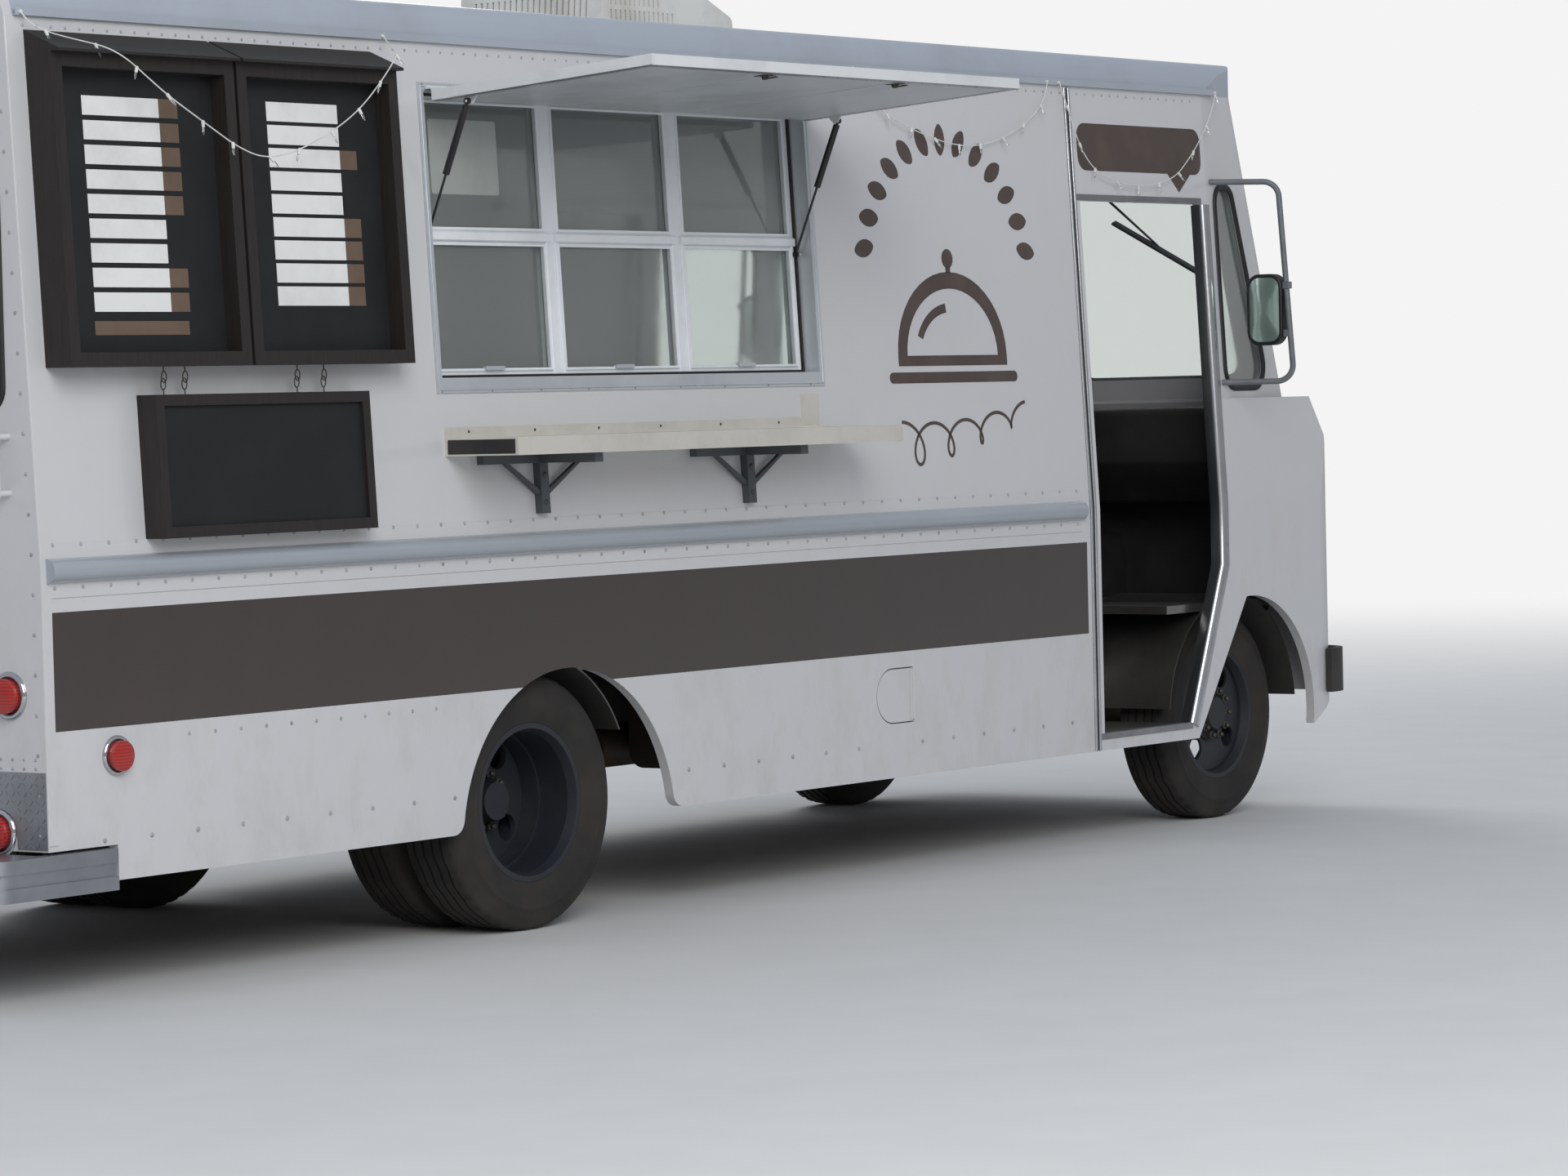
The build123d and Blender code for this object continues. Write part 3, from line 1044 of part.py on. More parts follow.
# Rear doors: two leaves hinged at the outer edges of the rear opening, each with a window
leaf_gap = 5.0
rear_pane_y0, rear_pane_y1 = 140.0, rear_door_half - 100
rear_pane_z0, rear_pane_z1 = rear_door_z1 - 830, rear_door_z1 - 150
hinge_pin_r, hinge_height, hinge_plate = 9.0, 90.0, 80.0
hinge_zs = (rear_door_z0 + 220, rear_door_z0 + 810, rear_door_z1 - 210)
pin_x = rear_x - hinge_pin_r - running_gap
for name, side in sides:
    pane_place = (side * (rear_pane_y0 + rear_pane_y1) / 2, (rear_pane_z0 + rear_pane_z1) / 2)
    pane_size = (rear_pane_y1 - rear_pane_y0, rear_pane_z1 - rear_pane_z0, pane_corner_r)
    with BuildPart() as rear_door:
        with BuildSketch(Plane.YZ.offset(rear_x)):
            with Locations((side * rear_door_half / 2, (rear_door_z0 + rear_door_z1) / 2)):
                Rectangle(rear_door_half - 2 * leaf_gap, rear_door_z1 - rear_door_z0 - 2 * leaf_gap)
            with Locations(pane_place):
                RectangleRounded(*pane_size, mode=Mode.SUBTRACT)
        extrude(amount=wall)
        for z in hinge_zs:
            with BuildSketch(Plane.XY.offset(z)):
                with Locations((pin_x, side * rear_door_half)):
                    Circle(hinge_pin_r)
                with Locations((pin_x + 3, side * (rear_door_half - hinge_plate / 2))):
                    Rectangle(2 * (hinge_pin_r - 3 + running_gap), hinge_plate)
            extrude(amount=hinge_height)
    pieces["rear_door_" + name] = rear_door
    with BuildPart() as rear_glass:
        with BuildSketch(Plane.YZ.offset(rear_x + wall / 2)):
            with Locations(pane_place):
                RectangleRounded(*pane_size)
        extrude(amount=glass)
    pieces["rear_door_" + name + "_glass"] = rear_glass

# Fuel filler flap: fills its recess, hinged at the straight front edge
flap, flap_pin_r, flap_pin_out = 4.0, 3.2, 3.5
with BuildPart() as fuel_door:
    with BuildSketch(Plane.XZ.offset(half_width - flap)):
        with BuildLine():
            fuel_outline(fuel_gap)
        make_face()
    extrude(amount=flap)
    with BuildSketch(Plane.XY.offset(fuel_z0 + 10)):
        with Locations((fuel_x1, -half_width - flap_pin_out)):
            Circle(flap_pin_r)
        with Locations((fuel_x1 - 11, -half_width - 1.5)):
            Rectangle(20, 3)
    extrude(amount=fuel_z1 - fuel_z0 - 20)
pieces["fuel_door"] = fuel_door

# Steering knuckles: a fork round the axle's end and the wheel spindle
front_spindle_r, knuckle_plate, knuckle_width, knuckle_height = 30.0, 18.0, 90.0, 200.0
plate_y, fork_r, fork_length, fork_height = kingpin_y + 46, 38.0, 50.0, 33.7
fork_gap = beam_half_height + running_gap
pin_bore_r = kingpin_r + 0.1
for name, side in sides:
    with BuildPart() as knuckle:
        with Locations((wheelbase, side * plate_y, axle_z)):
            Box(knuckle_width, knuckle_plate, knuckle_height)
        for low in (axle_z + fork_gap, axle_z - fork_gap - fork_height):
            with BuildSketch(Plane.XY.offset(low)):
                with Locations((wheelbase, side * kingpin_y)):
                    Circle(fork_r)
                with Locations((wheelbase, side * (kingpin_y + fork_length / 2))):
                    Rectangle(2 * fork_r, fork_length)
                with Locations((wheelbase, side * kingpin_y)):
                    Circle(pin_bore_r, mode=Mode.SUBTRACT)
            extrude(amount=fork_height)
        spindle_y0, spindle_y1 = plate_y + knuckle_plate / 2, front_centre + 60
        with BuildSketch(Plane.XZ.offset(-side * spindle_y0)):
            with Locations((wheelbase, axle_z)):
                Circle(front_spindle_r)
        extrude(amount=-side * (spindle_y1 - spindle_y0))
    pieces["knuckle_" + name] = knuckle

# Wheels: revolved tyres, and pressed steel rims with a dished disc, four hand holes and a hub
disc_sheet, dish_r, dish_sheet, disc_bore_r = 10.0, 218.0, 8.0, 60.0
well_r, bead_r = flange_r - 40, flange_r - 12
hub_r, hub_cap_r, hub_wall, hub_clear = 105.0, 60.0, 20.0, 0.08
hand_holes, hand_hole_r, hand_pitch_r, hand_turn = 4, 42.0, 163.0, 54.0
wheel_table = (("front", wheelbase, (front_centre,), (50.0,), front_spindle_r, kingpin_y + 55.3, front_centre + 95),
               ("rear", 0.0, (dual_centre - dual_spacing / 2, dual_centre + dual_spacing / 2),
                (dual_spacing / 2 - disc_sheet / 2, disc_sheet / 2 - dual_spacing / 2), spindle_r,
                dual_centre - 60, dual_centre + 85))


def tyre_outline(centre):
    """Section of one tyre: distance along the axle and radius."""
    half, shoulder, bulge = tyre_width / 2, 32.0, 55.0
    right = [(centre + rim_width / 2, bead_r), (centre + half, flange_r + bulge),
             (centre + half - 12, tyre_r - 30), (centre + half - shoulder, tyre_r)]
    return right + [(2 * centre - y, z) for y, z in reversed(right)]


def rim_outline(centre):
    """Section of one rim's barrel: two bead seats and the well between them."""
    half = rim_width / 2
    right = [(centre + half, bead_r), (centre + half, flange_r - 30), (centre + half - 30, well_r)]
    return right + [(2 * centre - y, z) for y, z in reversed(right)]


def disc_outline(centre, disc):
    """Section of a dished disc: a rolled wall from the well down to a flat centre."""
    way = 1 if disc > 0 else -1
    near, far = centre + disc - way * disc_sheet / 2, centre + disc + way * disc_sheet / 2
    root = centre + disc * 0.4
    return [(root, well_r + 1), (far, dish_r), (far, disc_bore_r), (near, disc_bore_r), (near, dish_r - dish_sheet),
            (root, well_r - dish_sheet)]


for end, x, centres, discs, spindle, hub_start, hub_end in wheel_table:
    middle = (centres[0] + discs[0] + centres[-1] + discs[-1]) / 2
    bore = spindle + hub_clear
    hub_outline = [(hub_start, bore), (hub_start, hub_r), (middle + 15, hub_r), (middle + 25, hub_cap_r + 10),
                   (hub_end, hub_cap_r), (hub_end, 0), (hub_end - hub_wall, 0), (hub_end - hub_wall, bore)]
    for name, side in sides:
        section = Plane((x, 0, axle_z), x_dir=(0, side, 0), z_dir=(side, 0, 0))
        axle_line = Axis((x, 0, axle_z), (0, 1, 0))
        with BuildPart() as tyre:
            with BuildSketch(section):
                for centre in centres:
                    Polygon(*tyre_outline(centre), align=None)
            revolve(axis=axle_line)
        pieces["tyre_" + end + "_" + name] = tyre
        with BuildPart() as rim:
            for centre, disc in zip(centres, discs):
                with BuildSketch(section):
                    Polygon(*rim_outline(centre), align=None)
                    Polygon(*disc_outline(centre, disc), align=None)
                revolve(axis=axle_line)
            with BuildSketch(Plane.XZ.offset(-side * (centres[0] - 90))):
                with Locations((x, axle_z)):
                    with PolarLocations(hand_pitch_r, hand_holes, start_angle=hand_turn):
                        Circle(hand_hole_r)
            extrude(amount=-side * (centres[-1] - centres[0] + 180), mode=Mode.SUBTRACT)
            with BuildSketch(section):
                Polygon(*hub_outline, align=None)
            revolve(axis=axle_line)
        pieces["rim_" + end + "_" + name] = rim

# Dashboard across the cab under the windscreen, with the toe board below it
dash_x0, dash_x1, dash_z1 = jamb_x + 210, screen_base_x - 100, seam_z - 30
dash_low, dash_half, toe_sheet = dash_z1 - 370, half_width - wall - 5, 15.0
with BuildPart() as dashboard:
    with BuildSketch(Plane.XZ.offset(-dash_half)):
        with BuildLine():
            rounded_outline([(dash_x0, dash_z1), (dash_x1, dash_z1), (dash_x1, floor_top),
                             (dash_x1 - toe_sheet, floor_top), (dash_x1 - toe_sheet, dash_low),
                             (dash_x0 + 190, dash_low), (dash_x0 + 40, dash_z1 - 210)], [25, 0, 0, 0, 0, 40, 30])
        make_face()
    extrude(amount=2 * dash_half)
    add(cab_lower.part, mode=Mode.SUBTRACT)
pieces["dashboard"] = dashboard

# Engine cover: a box over the engine between the seats, closed ahead by the toe board
cover_sheet, cover_top, cover_edge_r = 20.0, engine_z1 + 40, 60.0
cover_half, cover_x0, cover_x1 = bay_half + cover_sheet, bay_x0 - cover_sheet, dash_x1 - toe_sheet
with BuildPart() as engine_cover:
    for inset, mode in ((0.0, Mode.ADD), (cover_sheet, Mode.SUBTRACT)):
        half, low = cover_half - inset, floor_top - inset
        with BuildSketch(Plane.YZ.offset(cover_x0 + inset)):
            with BuildLine():
                rounded_outline([(-half, low), (-half, cover_top - inset), (half, cover_top - inset), (half, low)],
                                [0, cover_edge_r - inset, cover_edge_r - inset, 0])
            make_face()
        extrude(amount=cover_x1 - cover_x0, mode=mode)
pieces["engine_cover"] = engine_cover

# Steering wheel on its column, at the left: a ring of six flats, three spokes and a hub
steer_x, steer_y, steer_z, steer_angle = jamb_x + 50, well_y - 120, 1240.0, 40.0
ring_r, ring_grip, column_r, spoke_width, spoke_thick = 225.0, 14.0, 32.0, 28.0, 10.0
column_dir = Vector(cos(radians(steer_angle)), 0, -sin(radians(steer_angle)))
wheel_plane = Plane((steer_x, steer_y, steer_z), x_dir=(0, 1, 0), z_dir=column_dir)
ring_section = Plane((steer_x, steer_y, steer_z), x_dir=(0, 1, 0), z_dir=wheel_plane.y_dir)
with BuildPart() as steering_wheel:
    with BuildSketch(wheel_plane):
        Circle(column_r)
    extrude(amount=(steer_z - floor_top) / sin(radians(steer_angle)))
    add(floor.part, mode=Mode.SUBTRACT)
    with BuildSketch(ring_section):
        with Locations((ring_r, 0)):
            RegularPolygon(ring_grip, 6)
    revolve(axis=Axis((steer_x, steer_y, steer_z), column_dir))
    with Locations(wheel_plane):
        with PolarLocations(ring_r / 2, 3):
            Box(ring_r, spoke_width, spoke_thick)
pieces["steering_wheel"] = steering_wheel

# Driver's seat: pedestal with pan and back panel, and the two cushions
seat_x, seat_y = door_rear_x + 304, well_y - 120
pedestal, pedestal_height = 300.0, 300.0
pan_size, pan_sheet = 460.0, 30.0
back_x, back_width, back_height = seat_x - 245, 380.0, 520.0
cushion_size, cushion_width, cushion_height = 470.0, 480.0, 110.0
pad_thick, pad_width = 110.0, 460.0
pan_top = floor_top + pedestal_height + pan_sheet
with BuildPart() as seat_base:
    with Locations((seat_x, seat_y, floor_top + pedestal_height / 2)):
        Box(pedestal, pedestal, pedestal_height)
    with Locations((seat_x, seat_y, pan_top - pan_sheet / 2)):
        Box(pan_size, pan_size, pan_sheet)
    with Locations((back_x, seat_y, pan_top - 10 + back_height / 2)):
        Box(pan_sheet, back_width, back_height)
pieces["seat_base"] = seat_base

with BuildPart() as seat_cushions:
    with Locations((seat_x + 10, seat_y, pan_top + running_gap + cushion_height / 2)):
        Box(cushion_size, cushion_width, cushion_height)
    with Locations((back_x + pan_sheet / 2 + running_gap + pad_thick / 2, seat_y,
                    pan_top + running_gap + cushion_height + 5 + back_height / 2)):
        Box(pad_thick, pad_width, back_height)
pieces["seat_cushions"] = seat_cushions

# Kitchen units: a counter under the serving window and a cooking line opposite
galley_height, galley_gap = 850.0, 2.0
galley_table = ((-1, 600.0, window_x0 - 80, window_x1 + 80), (1, 700.0, -1000.0, 1800.0))
galley_face = deck_inner - lean(floor_top + galley_height) - galley_gap
with BuildPart() as galley:
    for side, depth, x0, x1 in galley_table:
        with Locations(((x0 + x1) / 2, side * (galley_face - depth / 2), floor_top + galley_height / 2)):
            Box(x1 - x0, depth, galley_height)
    add(floor.part, mode=Mode.SUBTRACT)
pieces["galley"] = galley

# The origin is the middle of the whole box, on the ground
boxes = [piece.part.bounding_box() for piece in pieces.values()]
origin_x = (min(box.min.X for box in boxes) + max(box.max.X for box in boxes)) / 2
origin_y = (min(box.min.Y for box in boxes) + max(box.max.Y for box in boxes)) / 2
for name, piece in pieces.items():
    placed = piece.part.moved(Location((-origin_x, -origin_y, 0)))
    placed.label = name
    export_step(placed, "parts/" + name + ".step")
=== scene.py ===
"""Food truck: looks of the step van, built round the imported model. All lengths are metres."""
import math

import bmesh
import bpy
from mathutils import Matrix, Vector


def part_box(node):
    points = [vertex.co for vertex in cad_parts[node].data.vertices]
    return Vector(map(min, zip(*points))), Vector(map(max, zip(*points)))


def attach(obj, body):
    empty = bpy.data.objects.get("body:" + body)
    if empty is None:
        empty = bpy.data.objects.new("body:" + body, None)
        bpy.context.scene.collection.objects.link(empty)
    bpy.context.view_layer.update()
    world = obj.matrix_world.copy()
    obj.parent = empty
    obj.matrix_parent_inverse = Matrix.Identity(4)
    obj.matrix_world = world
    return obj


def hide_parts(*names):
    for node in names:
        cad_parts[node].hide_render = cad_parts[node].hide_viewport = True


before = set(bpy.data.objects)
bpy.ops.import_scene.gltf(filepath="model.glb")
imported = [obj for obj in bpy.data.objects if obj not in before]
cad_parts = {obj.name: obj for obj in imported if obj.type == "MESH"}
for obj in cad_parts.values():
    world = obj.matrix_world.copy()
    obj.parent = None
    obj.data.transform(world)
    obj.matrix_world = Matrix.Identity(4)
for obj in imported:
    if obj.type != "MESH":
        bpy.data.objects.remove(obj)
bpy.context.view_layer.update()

# Place of the truck in the frame.
# Sizes below are given from the rear axle (x), the truck's middle (y) and the ground (z),
# which is how a body builder measures a step van; at() moves them into the frame.
rear_tyre_low, rear_tyre_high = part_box("tyre_rear_right")
rear_wall_low, rear_wall_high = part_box("rear_wall")
axle_x = (rear_tyre_low.x + rear_tyre_high.x) / 2
middle_y = (rear_wall_low.y + rear_wall_high.y) / 2
half_width = (rear_wall_high.y - rear_wall_low.y) / 2
belt_z, drip_z, tumblehome = 1.210, 2.743, 0.080
rear_face_x = -2.150
rearward, forward = Vector((-1, 0, 0)), Vector((1, 0, 0))
sides = (("right", -1), ("left", 1))


def at(x, y, z):
    """A point given from the rear axle, the middle and the ground, in the frame."""
    return Vector((x + axle_x, y + middle_y, z))


def lean(z):
    """How far the leaning side stands inward at a height."""
    return tumblehome * max(0.0, z - belt_z) / (drip_z - belt_z)


def side_point(side, x, z, proud=0.0):
    """A point on the outer face of one side, or proud of it."""
    return at(x, side * (half_width - lean(z) + proud), z)


def side_normal(side, z):
    """Outward direction of one side at a height."""
    return Vector((0, side, tumblehome / (drip_z - belt_z) if z > belt_z else 0)).normalized()


def serving(outline, proud=0.0):
    """An outline laid on the serving side, or proud of it."""
    return [side_point(-1, u, v, proud) for u, v in outline]


# Camera.
# A long lens near the ground behind the serving side, tilted a little, as the photograph was taken.
camera_x, camera_y, camera_z = -11.6337, -10.7610, 1.6259
camera_yaw, camera_pitch, camera_roll = 0.6432, -0.0381, -0.02445
focal_share = 5964.29 / 1920.0
camera_data = bpy.data.cameras.new("photo_camera")
camera_data.sensor_width = 36.0
camera_data.lens = camera_data.sensor_width * focal_share
camera_data.clip_end = 200.0
camera = bpy.data.objects.new("photo_camera", camera_data)
bpy.context.scene.collection.objects.link(camera)
ahead = Vector((math.cos(camera_yaw) * math.cos(camera_pitch), math.sin(camera_yaw) * math.cos(camera_pitch),
                math.sin(camera_pitch)))
level = ahead.cross(Vector((0, 0, 1))).normalized()
upright = level.cross(ahead)
right = math.cos(camera_roll) * level + math.sin(camera_roll) * upright
up = -math.sin(camera_roll) * level + math.cos(camera_roll) * upright
facing = Matrix((right, up, -ahead)).transposed().to_4x4()
camera.matrix_world = Matrix.Translation(at(camera_x, camera_y, camera_z)) @ facing
bpy.context.scene.camera = camera


# Floor, backdrop light and lamps.
# A pale studio floor that keeps the shadow, with a large soft lamp on the serving side and a
# dim one behind, so that paint reads as painted and bright metal still has something to reflect.
def linear(code):
    """Linear colour with alpha of an sRGB hex code."""
    parts = [int(code[i:i + 2], 16) / 255 for i in (1, 3, 5)]
    return [c / 12.92 if c <= 0.04045 else ((c + 0.055) / 1.055) ** 2.4 for c in parts] + [1.0]


def add_node(tree, kind, inputs=None, **settings):
    """Adds a shader node with its settings, and links or sets its inputs."""
    made = tree.nodes.new("ShaderNode" + kind)
    for name, value in settings.items():
        setattr(made, name, value)
    for name, value in (inputs or {}).items():
        if isinstance(value, bpy.types.NodeSocket):
            tree.links.new(value, made.inputs[name])
        else:
            made.inputs[name].default_value = value
    return made


def noise(tree, vector, scale, detail, **inputs):
    """Noise at a scale over a vector, as a share."""
    return add_node(tree, "TexNoise", {"Vector": vector, "Scale": scale, "Detail": detail, **inputs}).outputs["Fac"]


def mix(tree, share, first, second):
    """Two tones mixed by a share; a tone is a hex code or a socket."""
    first, second = [linear(tone) if isinstance(tone, str) else tone for tone in (first, second)]
    return add_node(tree, "MixRGB", {"Fac": share, "Color1": first, "Color2": second}).outputs["Color"]


def ranged(tree, value, low=0.0, high=1.0, to_low=0.0, to_high=1.0):
    """A value brought from one range to another."""
    return add_node(tree, "MapRange", {"Value": value, "From Min": low, "From Max": high, "To Min": to_low,
                                       "To Max": to_high}).outputs["Result"]


def bumped(tree, height, strength, distance, **inputs):
    """Surface direction bumped by a height."""
    return add_node(tree, "Bump", {"Height": height, "Strength": strength, "Distance": distance,
                                   **inputs}).outputs["Normal"]


def connect(tree, shader, **sockets):
    """Links sockets to a shader's inputs of the same names."""
    for name, socket in sockets.items():
        tree.links.new(socket, shader.inputs[name.replace("_", " ")])


def new_material(name, **shader_inputs):
    """A material with its principled shader's plain values set; returns it, its tree and its shader."""
    made = bpy.data.materials.new(name)
    made.use_nodes = True
    shader = made.node_tree.nodes["Principled BSDF"]
    for key, value in shader_inputs.items():
        shader.inputs[key.replace("_", " ")].default_value = value
    return made, made.node_tree, shader


def mesh_object(name, points, faces, material, smooth=False):
    """A mesh piece from points and faces, with one material and its faces turned outward."""
    mesh = bpy.data.meshes.new(name)
    mesh.from_pydata([tuple(p) for p in points], [], [tuple(f) for f in faces])
    mesh.materials.append(material)
    turned = bmesh.new()
    turned.from_mesh(mesh)
    bmesh.ops.recalc_face_normals(turned, faces=turned.faces)
    turned.to_mesh(mesh)
    turned.free()
    if smooth:
        mesh.shade_smooth()
        mesh.set_sharp_from_angle(angle=math.radians(38))
    made = bpy.data.objects.new(name, mesh)
    bpy.context.scene.collection.objects.link(made)
    return made


floor_half, floor_near, floor_far = 60.0, 7.0, 22.0
backdrop_white = 1.0
floor_paint, floor_tree, floor_shader = new_material("pale_floor", Roughness=0.75)
floor_place = add_node(floor_tree, "TexCoord").outputs["Object"]
floor_grain = noise(floor_tree, floor_place, 3.0, 6.0)
floor_tone = mix(floor_tree, floor_grain, "#D2D1CF", "#DCDBD9")
connect(floor_tree, floor_shader, Base_Color=floor_tone)
floor_reach = add_node(floor_tree, "VectorMath", {0: floor_place}, operation="LENGTH")
floor_fade = add_node(floor_tree, "MapRange", {"Value": floor_reach.outputs["Value"], "From Min": floor_near,
                                               "From Max": floor_far}, interpolation_type="SMOOTHSTEP")
floor_rays = add_node(floor_tree, "LightPath")
floor_share = add_node(floor_tree, "Math", {0: floor_fade.outputs["Result"], 1: floor_rays.outputs["Is Camera Ray"]},
                       operation="MULTIPLY")
floor_white = add_node(floor_tree, "Emission", {"Color": linear("#F4F4F4"), "Strength": backdrop_white})
floor_mix = add_node(floor_tree, "MixShader", {0: floor_share.outputs["Value"], 1: floor_shader.outputs["BSDF"],
                                               2: floor_white.outputs["Emission"]})
floor_tree.links.new(floor_mix.outputs["Shader"], floor_tree.nodes["Material Output"].inputs["Surface"])
studio_floor = mesh_object("studio_floor", [(-floor_half, -floor_half, 0), (floor_half, -floor_half, 0),
                                            (floor_half, floor_half, 0), (-floor_half, floor_half, 0)],
                           [(0, 1, 2, 3)], floor_paint)

world = bpy.data.worlds.new("studio_world")
bpy.context.scene.world = world
world.use_nodes = True
sky = world.node_tree
sky_back = sky.nodes["Background"]
path = add_node(sky, "LightPath")
seen = add_node(sky, "Math", {0: path.outputs["Is Camera Ray"], 1: path.outputs["Is Transmission Ray"]},
                operation="MAXIMUM")
direction = add_node(sky, "TexCoord")
height = add_node(sky, "SeparateXYZ", {"Vector": direction.outputs["Generated"]})
rise = ranged(sky, height.outputs["Z"], -0.05, 0.35)
glow = mix(sky, rise, "#B9B2AC", "#D9E2EE")
glow_level = 0.62
white_mix = mix(sky, seen.outputs["Value"], glow, "#F4F4F4")
strength = ranged(sky, seen.outputs["Value"], to_low=glow_level, to_high=backdrop_white)
connect(sky, sky_back, Color=white_mix, Strength=strength)


def soft_lamp(name, place, aim, size, power):
    """A large square lamp at one point, aimed at another."""
    data = bpy.data.lights.new(name, "AREA")
    data.size = size
    data.energy = power
    made = bpy.data.objects.new(name, data)
    bpy.context.scene.collection.objects.link(made)
    made.location = place
    made.rotation_euler = (aim - place).to_track_quat("-Z", "Y").to_euler()
    return made


soft_lamp("key_lamp", at(-9.0, -13.0, 9.0), at(0.5, 0.0, 1.2), 9.0, 1500.0)
soft_lamp("fill_lamp", at(9.0, 11.0, 10.0), at(0.5, 0.0, 1.2), 9.0, 700.0)
bpy.context.scene.view_settings.view_transform = "Standard"


# Chassis: frame rails, axles, springs, knuckles, exhaust and tank.
# Rolled and forged steel under black chassis paint, cast iron and bare steel, all of it under
# a coat of dry road dust that is thickest on what faces up or lies low.
def dusty(name, base, dust, roughness, metallic=0.0, grain_mm=60.0, dust_share=0.5):
    """Road-worn finish: one colour under patches of dust, both a little uneven."""
    made, tree, shader = new_material(name, Metallic=metallic)
    place = add_node(tree, "TexCoord").outputs["Object"]
    patches = noise(tree, place, 1000.0 / grain_mm / 10, 8.0, Roughness=0.65)
    share = ranged(tree, patches, 0.35, 0.75, to_high=dust_share)
    tone = mix(tree, share, base, dust)
    rough = ranged(tree, patches, to_low=roughness - 0.1, to_high=min(roughness + 0.25, 1.0))
    fine = noise(tree, place, 1000.0 / grain_mm * 4, 4.0)
    bump = bumped(tree, fine, 0.25, 0.002)
    connect(tree, shader, Base_Color=tone, Roughness=rough, Normal=bump)
    return made


def finish_node(name, material, smooth=False):
    """Gives a carried-over node one material in place of its plain slots."""
    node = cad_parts[name]
    node.data.materials.clear()
    node.data.materials.append(material)
    if smooth:
        node.data.shade_smooth()


chassis_paint = dusty("black_chassis_paint", "#1B1B1D", "#5F584F", 0.55)
cast_iron = dusty("cast_iron", "#2A2726", "#6A6157", 0.7, metallic=0.6)
bare_steel = dusty("bare_steel_with_rust", "#56504B", "#6E4F38", 0.6, metallic=0.7)
for name in ("frame_rails", "seat_base", "front_bumper"):
    finish_node(name, chassis_paint)
for name in ("rear_axle", "front_axle", "engine", "knuckle_left", "knuckle_right"):
    finish_node(name, cast_iron)
for name in ("leaf_springs", "exhaust", "fuel_tank"):
    finish_node(name, bare_steel)


# Wheels: tyres, rims and wheel nuts.
# Vulcanised rubber moulded with five ribs, zigzag grooves and notched shoulders, on pressed steel
# rims in dark blue-grey paint, each held by ten plated nuts on its hub.
def piece(name, shapes, material, body, smooth=True):
    """One joined mesh piece from several (points, faces) shapes, riding on a body."""
    points, faces = [], []
    for shape_points, shape_faces in shapes:
        first = len(points)
        points += shape_points
        faces += [tuple(first + corner for corner in face) for face in shape_faces]
    made = mesh_object(name, points, faces, material, smooth)
    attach(made, body)
    return made


def turned_shape(centre, axis, profile, steps=24):
    """Closed shape turned about an axis from a profile of (along, radius) points."""
    axis = axis.normalized()
    first = axis.orthogonal().normalized()
    second = axis.cross(first)
    points = []
    for along, radius in profile:
        for step in range(steps):
            angle = 2 * math.pi * step / steps
            spoke = first * math.cos(angle) + second * math.sin(angle)
            points.append(centre + axis * along + spoke * radius)
    rows = len(profile)
    faces = [(row * steps + step, row * steps + (step + 1) % steps, (row + 1) * steps + (step + 1) % steps,
              (row + 1) * steps + step) for row in range(rows - 1) for step in range(steps)]
    faces += [tuple(range(steps)), tuple(range((rows - 1) * steps, rows * steps))]
    return points, faces


tyre_r, tread_half, tread_steps = 0.400, 0.081, 180
groove_places, groove_half, groove_depth, zigzag = (-0.053, -0.018, 0.018, 0.053), 0.0055, 0.010, 0.003
notch_depth, notch_from, notch_every = 0.006, 0.066, 4
sidewall = [(0.095, 0.2495), (0.1000, 0.2620), (0.1065, 0.2850), (0.1120, 0.3120), (0.1115, 0.3260),
            (0.1125, 0.3290), (0.1125, 0.3330), (0.1090, 0.3380), (0.1060, 0.3540), (0.1015, 0.3700),
            (0.0970, 0.3790), (0.0960, 0.3830), (0.0890, 0.3925)]


def tyre_section(step):
    """Points across one tyre at one step round it: distance from its middle and radius."""
    shift = zigzag * (1 - abs(step % 8 - 4) / 2)
    cut = notch_depth if step % notch_every == 0 else 0.0
    tread = [(-tread_half, 0.3985 - cut), (-notch_from, 0.3995 - cut), (-notch_from + 0.004, 0.3997)]
    for place in groove_places:
        middle = place + shift
        for offset, depth in ((-groove_half, 0.0), (-0.6 * groove_half, groove_depth),
                              (0.6 * groove_half, groove_depth), (groove_half, 0.0)):
            tread.append((middle + offset, 0.3998 - depth))
    tread += [(notch_from - 0.004, 0.3997), (notch_from, 0.3995 - cut), (tread_half, 0.3985 - cut)]
    return [(-y, r) for y, r in sidewall] + tread + [(y, r) for y, r in reversed(sidewall)]


def tyre_shape(x, y):
    """Closed ring of one tyre round its axle line."""
    rows = [tyre_section(step) for step in range(tread_steps)]
    size = len(rows[0])
    points = []
    for step, row in enumerate(rows):
        angle = 2 * math.pi * step / tread_steps
        points += [at(x + r * math.cos(angle), y + across, tyre_r + r * math.sin(angle)) for across, r in row]
    faces = [(step * size + i, step * size + (i + 1) % size, (step + 1) % tread_steps * size + (i + 1) % size,
              (step + 1) % tread_steps * size + i) for step in range(tread_steps) for i in range(size)]
    return points, faces


tyre_rubber = dusty("dusty_tyre_rubber", "#1E1D1C", "#4A443C", 0.8, grain_mm=25.0, dust_share=0.55)
wheel_paint = dusty("dark_wheel_enamel", "#20242C", "#4B453D", 0.5, grain_mm=40.0, dust_share=0.35)
plated_steel = dusty("zinc_plated_nuts", "#5B5A58", "#5A4A3A", 0.45, metallic=0.8)
front_axle_x = 4.210
tyre_width, dual_spacing = 0.226, 0.250
dual_y = half_width - 0.050 - tyre_width / 2 - dual_spacing / 2
front_y = half_width - 0.145 - tyre_width / 2
nut_count, nut_ring_r, nut_r, nut_height = 10, 0.087, 0.016, 0.024
wheel_table = (("front", front_axle_x, (front_y,), front_y + 0.050),
               ("rear", 0.0, (dual_y - dual_spacing / 2, dual_y + dual_spacing / 2), dual_y))
